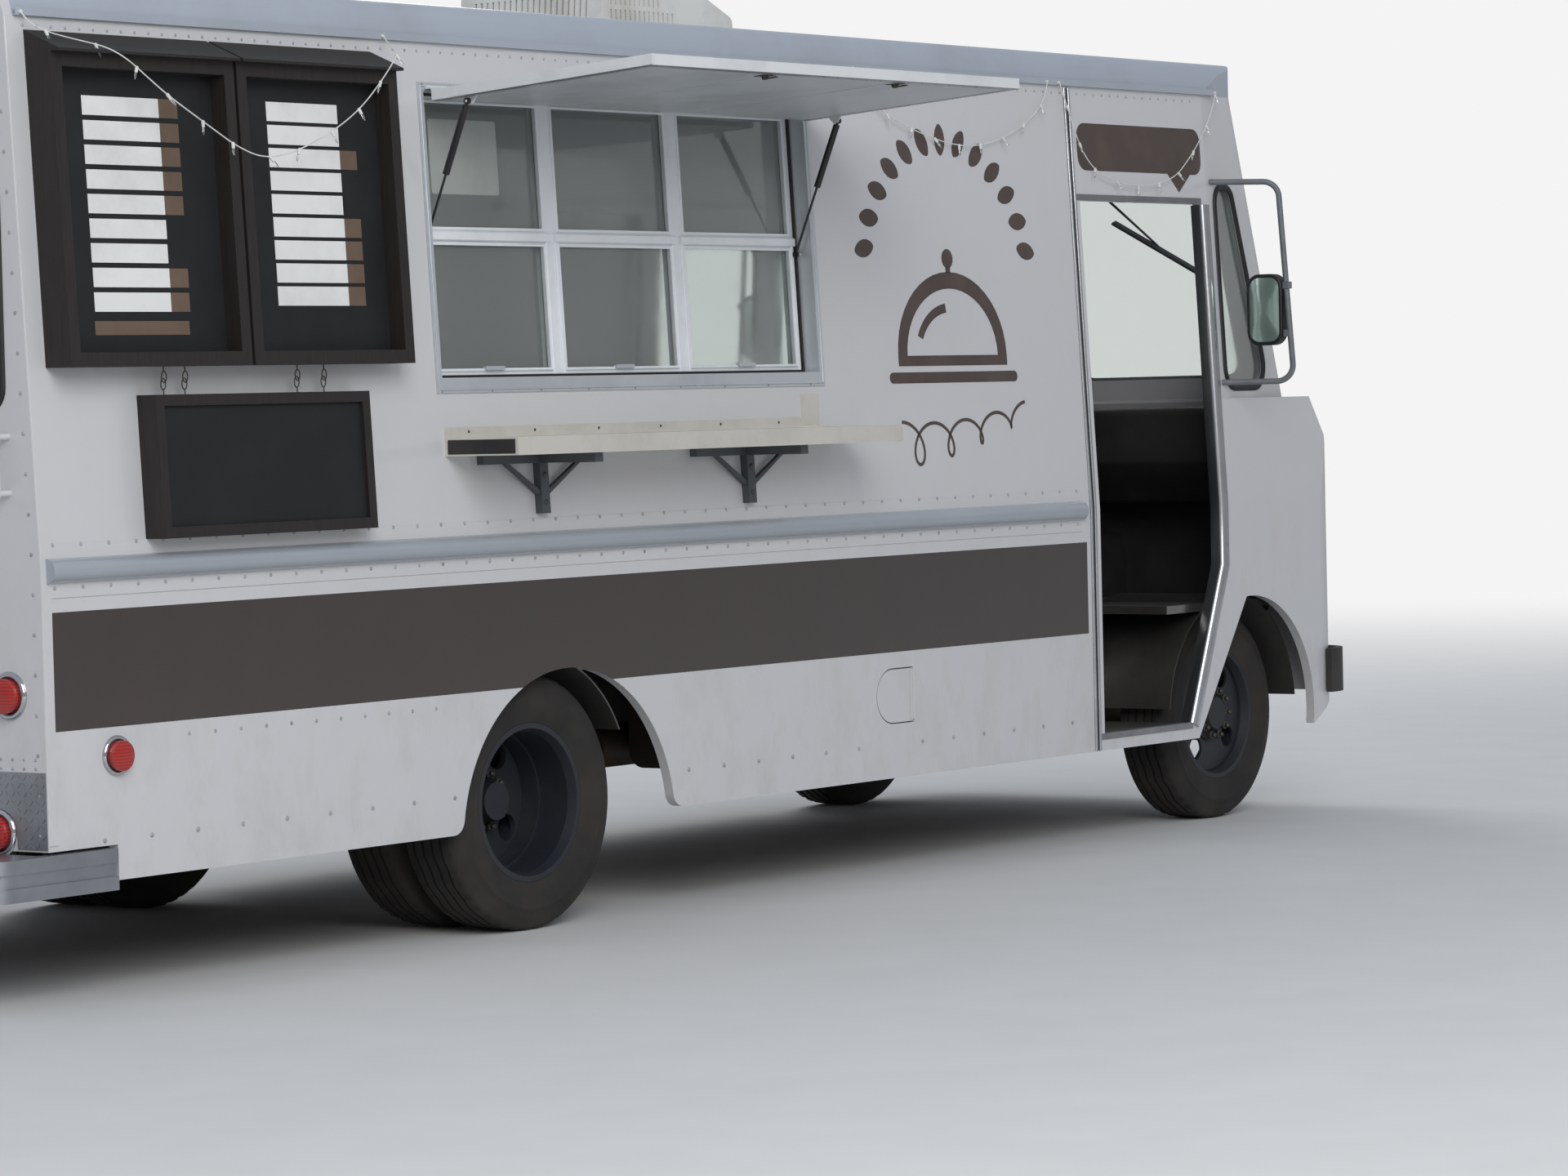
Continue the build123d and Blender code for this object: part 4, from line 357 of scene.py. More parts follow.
for end, x, centres, disc_y in wheel_table:
    for name, side in sides:
        body = "wheel_" + end + "_" + name
        tyre = piece("tread_tyre_" + end + "_" + name, [tyre_shape(x, side * centre) for centre in centres],
                     tyre_rubber, body)
        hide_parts("tyre_" + end + "_" + name)
        finish_node("rim_" + end + "_" + name, wheel_paint)
        outward = Vector((0, side, 0))
        nuts = []
        for count in range(nut_count):
            angle = 2 * math.pi * count / nut_count
            foot = at(x + nut_ring_r * math.cos(angle), side * (disc_y + 0.016), tyre_r + nut_ring_r * math.sin(angle))
            nuts.append(turned_shape(foot, outward, [(0, nut_r + 0.002), (0.003, nut_r + 0.002), (0.004, nut_r),
                                                     (nut_height - 0.003, nut_r), (nut_height, nut_r - 0.003)], 6))
            nuts.append(turned_shape(foot + outward * nut_height, outward, [(0, 0.009), (0.010, 0.009),
                                                                             (0.013, 0.006)], 10))
        piece("wheel_nuts_" + end + "_" + name, nuts, plated_steel, body, smooth=False)


# Body shell: side walls, rear wall and cab, with their seams, posts, rivets and screws.
# Riveted aluminium sheet sprayed off-white with a gloss enamel: the sheet is never quite flat, so
# reflections wander, dirt gathers low down, and a brown film stripe runs along both sides.
def inside_range(tree, value, low, high):
    """A mask that is 1 where a value lies in a range, else 0."""
    near = add_node(tree, "Math", {0: value, 1: (low + high) / 2, 2: (high - low) / 2}, operation="COMPARE")
    return near.outputs["Value"]


def times(tree, first, second):
    """Product of two masks."""
    return add_node(tree, "Math", {0: first, 1: second}, operation="MULTIPLY").outputs["Value"]


stripe_x0, stripe_x1, stripe_z0, stripe_z1 = -2.125, 3.085, 0.765, 1.095
sheet_wave_mm, peel_mm = 420.0, 6.0
body_paint, body_tree, body_shader = new_material("gloss_enamel_on_aluminium", Coat_Weight=0.9, Coat_Roughness=0.04)
body_place = add_node(body_tree, "TexCoord").outputs["Object"]
body_split = add_node(body_tree, "SeparateXYZ", {"Vector": body_place})
stripe_low, stripe_high = at(stripe_x0, 0, stripe_z0), at(stripe_x1, 0, stripe_z1)
off_middle = add_node(body_tree, "Math", {0: body_split.outputs["Y"], 1: middle_y}, operation="SUBTRACT")
outer = add_node(body_tree, "Math", {0: off_middle.outputs["Value"]}, operation="ABSOLUTE")
stripe_mask = times(body_tree, inside_range(body_tree, body_split.outputs["X"], stripe_low.x, stripe_high.x),
                    times(body_tree, inside_range(body_tree, body_split.outputs["Z"], stripe_z0, stripe_z1),
                          inside_range(body_tree, outer.outputs["Value"], half_width - 0.002, half_width + 0.002)))
stretched = add_node(body_tree, "Mapping", {"Vector": body_place, "Scale": (1.6, 1.6, 0.8)})
streaks = noise(body_tree, stretched.outputs["Vector"], 4.0, 9.0, Roughness=0.7)
low_down = ranged(body_tree, body_split.outputs["Z"], 0.35, 1.5, to_low=0.42, to_high=0.06)
streak_share = ranged(body_tree, streaks, 0.46, 0.85)
grime = times(body_tree, streak_share, low_down)
clean = mix(body_tree, streaks, "#C6C6C8", "#D0CFD0")
painted = mix(body_tree, grime, clean, "#938A7E")
film = mix(body_tree, streaks, "#2E2420", "#3B2F28")
body_tone = mix(body_tree, stripe_mask, painted, film)
gloss = ranged(body_tree, streaks, to_low=0.22, to_high=0.48)
film_gloss = ranged(body_tree, stripe_mask, to_low=0.0, to_high=0.12)
body_rough = add_node(body_tree, "Math", {0: gloss, 1: film_gloss}, operation="ADD")
waves = noise(body_tree, body_place, 1000.0 / sheet_wave_mm, 2.0)
wave_bump = bumped(body_tree, waves, 0.30, 0.02)
peel = noise(body_tree, body_place, 1000.0 / peel_mm, 2.0)
peel_bump = bumped(body_tree, peel, 0.05, 0.001, Normal=wave_bump)
connect(body_tree, body_shader, Base_Color=body_tone, Roughness=body_rough.outputs["Value"], Normal=peel_bump)
for name in ("side_wall_right", "side_wall_left", "rear_wall", "cab_upper", "cab_lower", "door_right",
             "door_left", "rear_door_right", "rear_door_left", "fuel_door"):
    finish_node(name, body_paint)


def metal(name, base, roughness, brushed_mm=1.5, direction=(40.0, 1.0, 1.0), dull="#7C7C7E", uneven=0.15):
    """Bare metal: one tone that dulls in patches, with fine brush marks along a direction."""
    made, tree, shader = new_material(name, Metallic=1.0)
    place = add_node(tree, "TexCoord").outputs["Object"]
    patches = noise(tree, place, 7.0, 6.0)
    tone = mix(tree, patches, base, dull)
    rough = ranged(tree, patches, to_low=roughness, to_high=roughness + uneven)
    lines = add_node(tree, "Mapping", {"Vector": place, "Scale": direction})
    marks = noise(tree, lines.outputs["Vector"], 1000.0 / brushed_mm / 40, 3.0)
    bump = bumped(tree, marks, 0.08, 0.0006)
    connect(tree, shader, Base_Color=tone, Roughness=rough, Normal=bump)
    return made


def weathered(name, base, stain, roughness, spread=(0.45, 0.8), scale=3.0, bump_strength=0.1, bump_scale=120.0,
              **values):
    """Painted or moulded surface: one colour with soft stains and a fine surface bump."""
    made, tree, shader = new_material(name, **values)
    place = add_node(tree, "TexCoord").outputs["Object"]
    clouds = noise(tree, place, scale, 9.0, Roughness=0.65)
    share = ranged(tree, clouds, spread[0], spread[1])
    tone = mix(tree, share, base, stain)
    rough = ranged(tree, clouds, to_low=roughness - 0.08, to_high=roughness + 0.12)
    grain = noise(tree, place, bump_scale, 3.0)
    bump = bumped(tree, grain, bump_strength, 0.001)
    connect(tree, shader, Base_Color=tone, Roughness=rough, Normal=bump)
    return made


def dome_shape(place, normal, radius, rise, steps=8):
    """Head of one rivet or screw: a low dome on a surface."""
    return turned_shape(place - normal * 0.0005, normal,
                        [(0, radius), (0.35 * rise, radius), (0.8 * rise, 0.72 * radius),
                                                          (rise, 0.3 * radius)], steps)


def strip_shape(path, outward, section, closed=False):
    """One section of (across, out) pairs swept along a path over a surface, mitred at its corners."""
    count, size = len(path), len(section)
    points = []
    for place, here in enumerate(path):
        out = outward[place] if isinstance(outward, list) else outward
        come = here - path[place - 1] if closed or place else path[1] - here
        go = path[(place + 1) % count] - here if closed or place < count - 1 else come
        onward = (come.normalized() + go.normalized()).normalized()
        across = onward.cross(out).normalized()
        stretch = 1.0 / max(0.35, onward.dot(go.normalized()))
        points += [here + across * (u * stretch) + out * v for u, v in section]
    rings = count if closed else count - 1
    faces = [(ring * size + i, ring * size + (i + 1) % size, (ring + 1) % count * size + (i + 1) % size,
              (ring + 1) % count * size + i) for ring in range(rings) for i in range(size)]
    if not closed:
        faces += [tuple(range(size)), tuple(range((count - 1) * size, count * size))]
    return points, faces


def half_round(width, rise, steps=6):
    """Section of a half-round moulding of this width and rise."""
    arc = [(-width / 2 * math.cos(math.pi * k / steps), rise * math.sin(math.pi * k / steps)) for k in range(steps + 1)]
    return [(-width / 2, -0.001)] + arc + [(width / 2, -0.001)]


def flat_bar(width, rise, edge=0.001, under=0.001):
    """Section of a flat bar with broken edges."""
    half = width / 2
    return [(-half, -under), (-half, rise - edge), (-half + edge, rise), (half - edge, rise), (half, rise - edge),
            (half, -under)]


def oval(half_across, half_out, step=30):
    """Section of an oval rod, with a corner every so many degrees."""
    return [(half_across * math.cos(math.radians(a)), half_out * math.sin(math.radians(a)))
            for a in range(0, 360, step)]


def places_along(start, end, pitch):
    """Places at a pitch from a start to an end."""
    return [start + pitch * count for count in range(int((end - start) / pitch) + 1)]


# belt rail: its roll is painted a darker blue-grey than its flange, as painted shade on the half-round roll, so the
# waist line shows
rail_paint_and_shade, rail_tree, rail_shader = new_material("belt_rail_enamel_with_painted_shade", Roughness=0.24, Coat_Weight=0.7,
                                                  Coat_Roughness=0.06)
rail_place = add_node(rail_tree, "TexCoord").outputs["Object"]
rail_split = add_node(rail_tree, "SeparateXYZ", {"Vector": rail_place})
painted_shade_roll_mask = inside_range(rail_tree, rail_split.outputs["Z"], belt_z - 0.0345, belt_z + 0.0345)
rail_wear = noise(rail_tree, rail_place, 3.0, 8.0)
# painted shade: the roll's darker blue-grey tones stand in for the shade on the half-round roll
roll_painted_shade_tone = mix(rail_tree, rail_wear, "#A3A9B1", "#949AA2")
flange_tone = mix(rail_tree, rail_wear, "#C6C6C8", "#CECDCE")
rail_tone_with_painted_shade = mix(rail_tree, painted_shade_roll_mask, flange_tone, roll_painted_shade_tone)
connect(rail_tree, rail_shader, Base_Color=rail_tone_with_painted_shade)
finish_node("belt_rails", rail_paint_and_shade)
aluminium = metal("mill_finish_aluminium", "#B9BABD", 0.30)
polished_trim = metal("polished_aluminium_trim", "#D6D8DB", 0.18, dull="#A4A6A9", uneven=0.12)
# rivet heads: coloured darker than the sheet, and darker still in patches, so they show as dots against it
rivet_paint = weathered("dark_grey_rivet_heads", "#A6A8AB", "#6F6B66", 0.38, scale=40.0)
rivet_r, rivet_rise, flange = 0.0060, 0.0032, 0.003
rivets = []
belt_rivet_rows = ((1.162, flange, -2.10), (1.281, flange, -2.10))
for name, side in sides:
    for z, proud, start in belt_rivet_rows:
        rivets += [dome_shape(side_point(side, x, z, proud), side_normal(side, z), rivet_r, rivet_rise)
                   for x in places_along(start, 3.03, 0.109)]
    rivets += [dome_shape(side_point(side, x, 0.726), side_normal(side, 0.7), rivet_r, rivet_rise)
               for x in places_along(-1.582, -0.50, 0.107)]
    rivets += [dome_shape(side_point(side, x, 2.716), side_normal(side, 2.7), 0.8 * rivet_r, rivet_rise)
               for x in places_along(-2.08, 4.0, 0.055)]
    skirt_xs = places_along(-1.932, -0.42, 0.187) + places_along(0.72, 3.02, 0.187)
    rivets += [dome_shape(side_point(side, x, 0.450), side_normal(side, 0.4), 0.0075, 0.004)
               for x in skirt_xs if not (side < 0 and 1.74 < x < 2.0)]
    rear_ys = [(half_width - lean(z) - 0.030, z) for z in places_along(0.48, 2.70, 0.111)]
    rivets += [dome_shape(at(rear_face_x, side * y, z), rearward, rivet_r, rivet_rise) for y, z in rear_ys]
    rivets += [dome_shape(at(rear_face_x, side * y, z), rearward, 0.8 * rivet_r, rivet_rise)
               for y in places_along(0.70, 1.07, 0.045) for z in (0.690, 0.665)]
piece("body_rivets", rivets, rivet_paint, "body")

corner_posts, door_posts, door_post_gap = [], [], []
post_x = 3.128
for name, side in sides:
    heights = [0.452, belt_z, 2.740]
    normals = [side_normal(side, z) for z in (0.4, 1.3, 2.7)]
    corner_posts.append(strip_shape([side_point(side, -2.130, z) for z in heights], normals, flat_bar(0.036, 0.003)))
    post_heights = [0.338, belt_z, 2.735]
    for shift in (-0.013, 0.013):
        door_posts.append(strip_shape([side_point(side, post_x + shift, z) for z in post_heights], normals,
                                      half_round(0.013, 0.008)))
    door_post_gap.append(strip_shape([side_point(side, post_x, z) for z in post_heights], normals,
                                     flat_bar(0.016, 0.002)))
piece("rear_corner_posts", corner_posts, body_paint, "body")
piece("door_post_mouldings", door_posts, polished_trim, "body")

rubber, rubber_tree, rubber_shader = new_material("extruded_black_rubber", Roughness=0.55)
rubber_place = add_node(rubber_tree, "TexCoord").outputs["Object"]
rubber_bloom = noise(rubber_tree, rubber_place, 30.0, 5.0)
rubber_tone = mix(rubber_tree, rubber_bloom, "#0F0F11", "#201F1F")
connect(rubber_tree, rubber_shader, Base_Color=rubber_tone)
piece("door_post_channel", door_post_gap, rubber, "body")


# Roof, gutters and air conditioner.
# The roof is one crowned sheet in the same enamel, its blue-grey colour painted shade and sky reflection, with soft
# stains; the gutters are folded into it. The air conditioner's housing is vacuum-formed white ABS with dust in its
# slots.
# painted shade: the roof's blue-grey colours stand in for shade and sky reflection on the white enamel
roof_enamel_painted_shade = weathered("roof_enamel_painted_sky_shade", "#A6AEB8", "#979DA4", 0.34, scale=1.6, Coat_Weight=0.4,
                       Coat_Roughness=0.1)
white_abs = weathered("white_formed_abs", "#E4E3DE", "#B9B4A8", 0.42, bump_scale=400.0)
finish_node("roof", roof_enamel_painted_shade)
finish_node("ac_unit", white_abs)


# Cab glazing: windscreens, quarter windows, their rubbers, and the glass of every other window.
# Toughened glass, a little green in its thickness, held in black extruded rubber that stands
# proud of the panel all round.
def rounded_path(corners, radii, steps=6):
    """Closed flat outline through corners, each rounded to its radius."""
    outline = []
    for before, here, after, radius in zip(corners[-1:] + corners[:-1], corners, corners[1:] + corners[:1], radii):
        here = Vector(here)
        back, ahead = (Vector(before) - here).normalized(), (Vector(after) - here).normalized()
        half = back.angle(ahead) / 2
        middle = here + (back + ahead).normalized() * radius / math.sin(half)
        start = here + back * radius / math.tan(half) - middle
        end = here + ahead * radius / math.tan(half) - middle
        first = math.atan2(start.y, start.x)
        turn = (math.atan2(end.y, end.x) - first + math.pi) % (2 * math.pi) - math.pi
        for step in range(steps + 1):
            angle = first + turn * step / steps
            outline.append(middle + radius * Vector((math.cos(angle), math.sin(angle))))
    return outline


def rectangle(u0, u1, v0, v1):
    """Corners of a rectangle."""
    return [(u0, v0), (u1, v0), (u1, v1), (u0, v1)]


def rounded_rectangle(u0, u1, v0, v1, radius, steps=6):
    """Closed outline of a rectangle with one corner radius."""
    return rounded_path([(u0, v0), (u1, v0), (u1, v1), (u0, v1)], [radius] * 4, steps)


def glazing(name, tint, roughness=0.03):
    """Window glass: clear, slightly tinted, with a faint smear that shows in its reflections."""
    made, tree, shader = new_material(name, IOR=1.5, Transmission_Weight=0.93, Base_Color=linear(tint))
    place = add_node(tree, "TexCoord").outputs["Object"]
    smear = noise(tree, place, 5.0, 7.0)
    rough = ranged(tree, smear, 0.45, 0.8, to_low=roughness, to_high=roughness + 0.07)
    ripple = noise(tree, place, 3.0, 1.0)
    bump = bumped(tree, ripple, 0.04, 0.02)
    connect(tree, shader, Roughness=rough, Normal=bump)
    return made


glass = glazing("toughened_window_glass", "#E9EFEC")
for name in ("fixed_glass", "door_right_glass", "door_left_glass", "rear_door_right_glass", "rear_door_left_glass"):
    finish_node(name, glass)

seam_z, screen_base_x, screen_rake = 1.600, 4.700, math.radians(15.9)
jamb_x, bend_x, bend = 4.000, 4.050, math.radians(8.0)
rubber_section = half_round(0.026, 0.010)
screen_normal = Vector((math.cos(screen_rake), 0, math.sin(screen_rake)))


def screen_point(y, z):
    """A point on the front of the windscreen surround."""
    return at(screen_base_x - (z - seam_z) * math.tan(screen_rake), y, z)


def corner_point(side, x, z):
    """A point on the corner panel between cab side and windscreen."""
    return at(x, side * (half_width - lean(z) - max(0.0, x - bend_x) * math.tan(bend)), z)


def corner_normal(side):
    """Outward direction of the corner panel."""
    return Vector((math.sin(bend), side * math.cos(bend), tumblehome / (drip_z - belt_z))).normalized()


quarter_x = jamb_x + 0.110
quarter_corners = [(quarter_x, 2.400), (quarter_x + 0.152, 2.400), (quarter_x + 0.395, 1.640), (quarter_x, 1.640)]
quarter_outline = rounded_path(quarter_corners, [0.070, 0.060, 0.090, 0.080])
screen_outline = rounded_rectangle(0.045, 0.800, 1.680, 2.560, 0.070)
screen_rubbers = []
for name, side in sides:
    screen_rubbers.append(strip_shape([corner_point(side, u, v) for u, v in quarter_outline], corner_normal(side),
                                      rubber_section, closed=True))
    screen_rubbers.append(strip_shape([screen_point(side * u, v) for u, v in screen_outline], screen_normal,
                                      rubber_section, closed=True))
    rear_outline = rounded_rectangle(0.690, 0.974, 1.660, 2.300, 0.060)
    screen_rubbers.append(strip_shape([at(rear_face_x, side * u, v) for u, v in rear_outline], rearward,
                                      rubber_section, closed=True))
piece("window_rubbers", screen_rubbers, rubber, "body")
finish_node("wipers", rubber)


# Doorway: the mouldings round the cab's two door openings.
# Half-round aluminium mouldings, polished by hands and coats, screwed over the edge of the
# opening from its head down the jamb, along the slanting foot and over the sill.
door_head_z, knee_z, sill_z, jamb_foot_x, door_rear_x = 2.330, 0.979, 0.396, 3.762, 3.176
jamb_section = ((0.054, -0.001), (0.053, 0.003), (0.046, 0.009), (0.033, 0.014), (0.018, 0.015), (0.005, 0.011),
                (-0.0015, 0.003), (-0.003, -0.006), (-0.003, -0.042), (-0.0005, -0.042), (-0.0005, -0.001))
jamb_trims, head_trims, sill_plates, trim_screws = [], [], [], []
for name, side in sides:
    jamb = [(jamb_x, door_head_z - 0.001), (jamb_x, belt_z), (jamb_x, knee_z), (jamb_foot_x, sill_z + 0.001)]
    jamb_normals = [side_normal(side, z) for z in (2.3, 1.3, 0.9, 0.4)]
    jamb_trims.append(strip_shape([side_point(side, x, z) for x, z in jamb], jamb_normals,
                                  [(side * across, out) for across, out in jamb_section]))
    head = [side_point(side, x, door_head_z + 0.012) for x in (door_rear_x - 0.02, jamb_x)]
    head_trims.append(strip_shape(head, side_normal(side, 2.3), flat_bar(0.022, 0.004)))
    sill = [side_point(side, x, sill_z - 0.010) for x in (door_rear_x - 0.03, jamb_foot_x + 0.01)]
    sill_plates.append(strip_shape(sill, side_normal(side, 0.4), flat_bar(0.022, 0.004)))
    trim_screws += [dome_shape(side_point(side, jamb_x + 0.026, z, 0.015), side_normal(side, z), 0.005, 0.002)
                    for z in places_along(1.05, 2.25, 0.20)]
piece("door_jamb_mouldings", jamb_trims, polished_trim, "body")
piece("door_head_and_sill_strips", head_trims + sill_plates, aluminium, "body")
piece("jamb_screws", trim_screws, aluminium, "body")


# Grille, lamps and bumpers.
# A moulded black grille, sealed-beam headlamps in chromed rings, red and amber lenses of ribbed
# acrylic in bright bezels, and a rear bumper of rolled aluminium with a worn top.
grille_plastic = weathered("moulded_black_grille", "#17181A", "#3A3733", 0.5)
finish_node("grille", grille_plastic)
bumper_metal = metal("rolled_bumper_aluminium", "#BEC1C6", 0.34, dull="#8B8E93", uneven=0.15)
finish_node("rear_bumper", bumper_metal)


def lens(name, colour, ring_mm=9.0):
    """Ribbed acrylic lens: clear colour over moulded rings."""
    made, tree, shader = new_material(name, Roughness=0.12, IOR=1.49, Coat_Weight=0.6, Coat_Roughness=0.05)
    place = add_node(tree, "TexCoord").outputs["Object"]
    ribs = add_node(tree, "TexWave", {"Vector": place, "Scale": 2 * math.pi * 1000.0 / ring_mm / 20},
                    wave_type="BANDS", bands_direction="Z")
    tone = mix(tree, ribs.outputs["Fac"], colour[0], colour[1])
    bump = bumped(tree, ribs.outputs["Fac"], 0.4, 0.001)
    connect(tree, shader, Base_Color=tone, Normal=bump)
    return made


red_lens = lens("red_acrylic_lens", ("#8E1410", "#B4241C"))
amber_lens = lens("amber_acrylic_lens", ("#B8661A", "#D08A30"))
clear_lens = lens("fluted_clear_glass", ("#B9C0C4", "#DDE2E4"))
chrome = metal("chromed_steel", "#D5D7DA", 0.06, dull="#B0B2B6", uneven=0.08)
lamp_bodies = weathered("grey_lamp_housings", "#5E5F61", "#3C3A38", 0.5)
finish_node("lamps", lamp_bodies)


def lens_shape(centre, outward, radius, rise, skirt=0.0):
    """Domed lens on a lamp's face, with a skirt down its barrel."""
    return turned_shape(centre, outward, [(-skirt, radius), (0.4 * rise, radius), (0.8 * rise, 0.8 * radius),
                                          (0.96 * rise, 0.45 * radius), (rise, 0.1 * radius)], 32)


def bezel_shape(centre, outward, inner, outer_r, rise):
    """Rounded ring round a lamp."""
    ring = []
    for step in range(48):
        angle = 2 * math.pi * step / 48
        first = outward.orthogonal().normalized()
        second = outward.cross(first)
        ring.append(centre + (first * math.cos(angle) + second * math.sin(angle)) * (inner + outer_r) / 2)
    return strip_shape(ring, outward, half_round(outer_r - inner, rise, 6), closed=True)


low_lamp_y, low_lamp_z = half_width - 0.190, 0.484
red_shapes, amber_shapes, clear_shapes, bezels = [], [], [], []
for name, side in sides:
    outward = Vector((0, side, 0))
    for y, z in ((half_width - 0.134, 0.866), (low_lamp_y, low_lamp_z)):
        red_shapes.append(lens_shape(at(-2.178, side * y, z), rearward, 0.0488, 0.009, 0.018))
        bezels.append(bezel_shape(at(rear_face_x, side * y, z), rearward, 0.048, 0.068, 0.012))
    red_shapes.append(lens_shape(at(-1.875, side * (half_width + 0.025), 0.684), outward, 0.0428, 0.008, 0.016))
    bezels.append(bezel_shape(at(-1.875, side * half_width, 0.684), outward, 0.042, 0.058, 0.010))
    clear_shapes.append(lens_shape(at(4.912, side * 0.740, 0.960), forward, 0.084, 0.012))
    bezels.append(bezel_shape(at(4.900, side * 0.740, 0.960), forward, 0.088, 0.112, 0.016))
    amber_shapes.append(lens_shape(at(4.912, side * 0.740, 0.790), forward, 0.041, 0.008))
    bezels.append(bezel_shape(at(4.900, side * 0.740, 0.790), forward, 0.044, 0.058, 0.010))
for name, shapes, material in (("red_lenses", red_shapes, red_lens), ("amber_lenses", amber_shapes, amber_lens),
                               ("headlamp_lenses", clear_shapes, clear_lens), ("lamp_bezels", bezels, chrome)):
    piece(name, shapes, material, "body")

grille_surround = rounded_rectangle(-0.500, 0.500, 0.780, 1.150, 0.040)
piece("grille_surround", [strip_shape([at(4.900, u, v) for u, v in grille_surround], forward,
                                      half_round(0.030, 0.012), closed=True)], chrome, "body")


# Rear tread plates and rear window details.
# Pressed aluminium tread plate, with its raised lozenges dulled by boots, screwed on below the
# rear windows each side of the bumper.
tread_plate = metal("pressed_tread_plate", "#B9BBBF", 0.30, dull="#85878B")


def slab_shape(outline, outward, rise, under=0.0005):
    """Flat plate with this outline, standing on a surface."""
    count = len(outline)
    points = [p - outward * under for p in outline] + [p + outward * rise for p in outline]
    faces = [tuple(range(count)), tuple(range(count, 2 * count))]
    faces += [(i, (i + 1) % count, count + (i + 1) % count, count + i) for i in range(count)]
    return points, faces


plate_rows, plate_columns, lozenge_pitch = 9, 18, 0.0235
plates, lozenges = [], []
for name, side in sides:
    lamp_hole = [(low_lamp_y + 0.070 * math.cos(a), low_lamp_z + 0.070 * math.sin(a))
                 for a in [math.radians(180 - 15 * k) for k in range(13)]]
    corners = [(half_width - 0.002, 0.440), (half_width - 0.002, 0.655), (half_width - 0.420, 0.655),
               (half_width - 0.420, 0.440), (half_width - 0.262, 0.440), (half_width - 0.262, 0.484)]
    outline = corners + lamp_hole + [(half_width - 0.118, 0.440)]
    plates.append(slab_shape([at(rear_face_x, side * y, z) for y, z in outline], rearward, 0.002))
    for row in range(plate_rows):
        for column in range(plate_columns):
            y = half_width - 0.016 - lozenge_pitch * column
            z = 0.452 + lozenge_pitch * row
            if math.hypot(y - low_lamp_y, z - low_lamp_z) < 0.084:
                continue
            tilt = math.radians(45 if (row + column) % 2 else -45)
            shape = [(-0.011, 0.0), (-0.006, -0.0035), (0.006, -0.0035), (0.011, 0.0), (0.006, 0.0035),
                     (-0.006, 0.0035)]
            lozenges.append(slab_shape([at(-2.152, side * (y + u * math.cos(tilt) - v * math.sin(tilt)),
                                           z + u * math.sin(tilt) + v * math.cos(tilt)) for u, v in shape],
                                       rearward, 0.0014))
piece("rear_tread_plates", plates + lozenges, tread_plate, "body", smooth=False)


# Sliding cab doors and rear doors: window rubbers, pulls and catches.
# The same enamelled sheet; a cast pull with a chromed face on each sliding door, with a black
# latch below it, and a lever handle on the rear pair.
door_depth = 0.047
for name, side in sides:
    shift = -0.800 if side < 0 else 0.0
    body = "door_" + name
    middle_x = (door_rear_x + jamb_x) / 2 + shift
    pane = rounded_rectangle(middle_x - 0.322, middle_x + 0.322, 1.480, 2.260, 0.060)
    piece("door_window_rubber_" + name, [strip_shape([side_point(side, u, v, -door_depth) for u, v in pane],
                                                     side_normal(side, 2.0), half_round(0.024, 0.008), closed=True)],
          rubber, body)
    pull_x = jamb_x - 0.012 + shift
    pull_path = [side_point(side, pull_x, z, proud - door_depth)
                 for z, proud in ((1.568, 0.001), (1.571, 0.016), (1.583, 0.0235), (1.625, 0.026), (1.667, 0.0235),
                                  (1.679, 0.016), (1.682, 0.001))]
    pull_section = oval(0.0075, 0.005)
    piece("door_pull_" + name, [strip_shape(pull_path, side_normal(side, 1.6), pull_section)], chrome, body)
    latch_outline = rounded_rectangle(pull_x - 0.010, pull_x + 0.006, 1.500, 1.550, 0.006, 3)
    piece("door_latch_" + name, [slab_shape([side_point(side, u, v, -door_depth) for u, v in latch_outline],
                                            side_normal(side, 1.5), 0.012)], grille_plastic, body)

rear_door_half, rear_door_z1 = 0.620, 2.450
for name, side in sides:
    body = "rear_door_" + name
    pane = rounded_rectangle(0.140, rear_door_half - 0.100, rear_door_z1 - 0.830, rear_door_z1 - 0.150, 0.060)
    shapes = [strip_shape([at(rear_face_x, side * u, v) for u, v in pane], rearward, half_round(0.024, 0.008),
                          closed=True)]
    frame_line = rectangle(side * 0.012, side * (rear_door_half - 0.012), 0.840, rear_door_z1 - 0.012)
    shapes.append(strip_shape([at(rear_face_x, y, z) for y, z in frame_line], rearward, half_round(0.010, 0.004),
                              closed=True))
    piece("rear_door_rubbers_" + name, shapes, rubber, body)
lever_plate = rounded_rectangle(0.045, 0.095, 1.290, 1.430, 0.012, 4)
lever_path = [at(rear_face_x - out, y, 1.360) for y,
              out in ((0.070, 0.002), (0.070, 0.030), (0.078, 0.036), (0.190, 0.036))]
lever_section = oval(0.009, 0.006)
piece("rear_door_handle", [slab_shape([at(rear_face_x, u, v) for u, v in lever_plate], rearward, 0.004),
                           strip_shape(lever_path, Vector((0, 0, 1)), lever_section)], chrome, "rear_door_left")


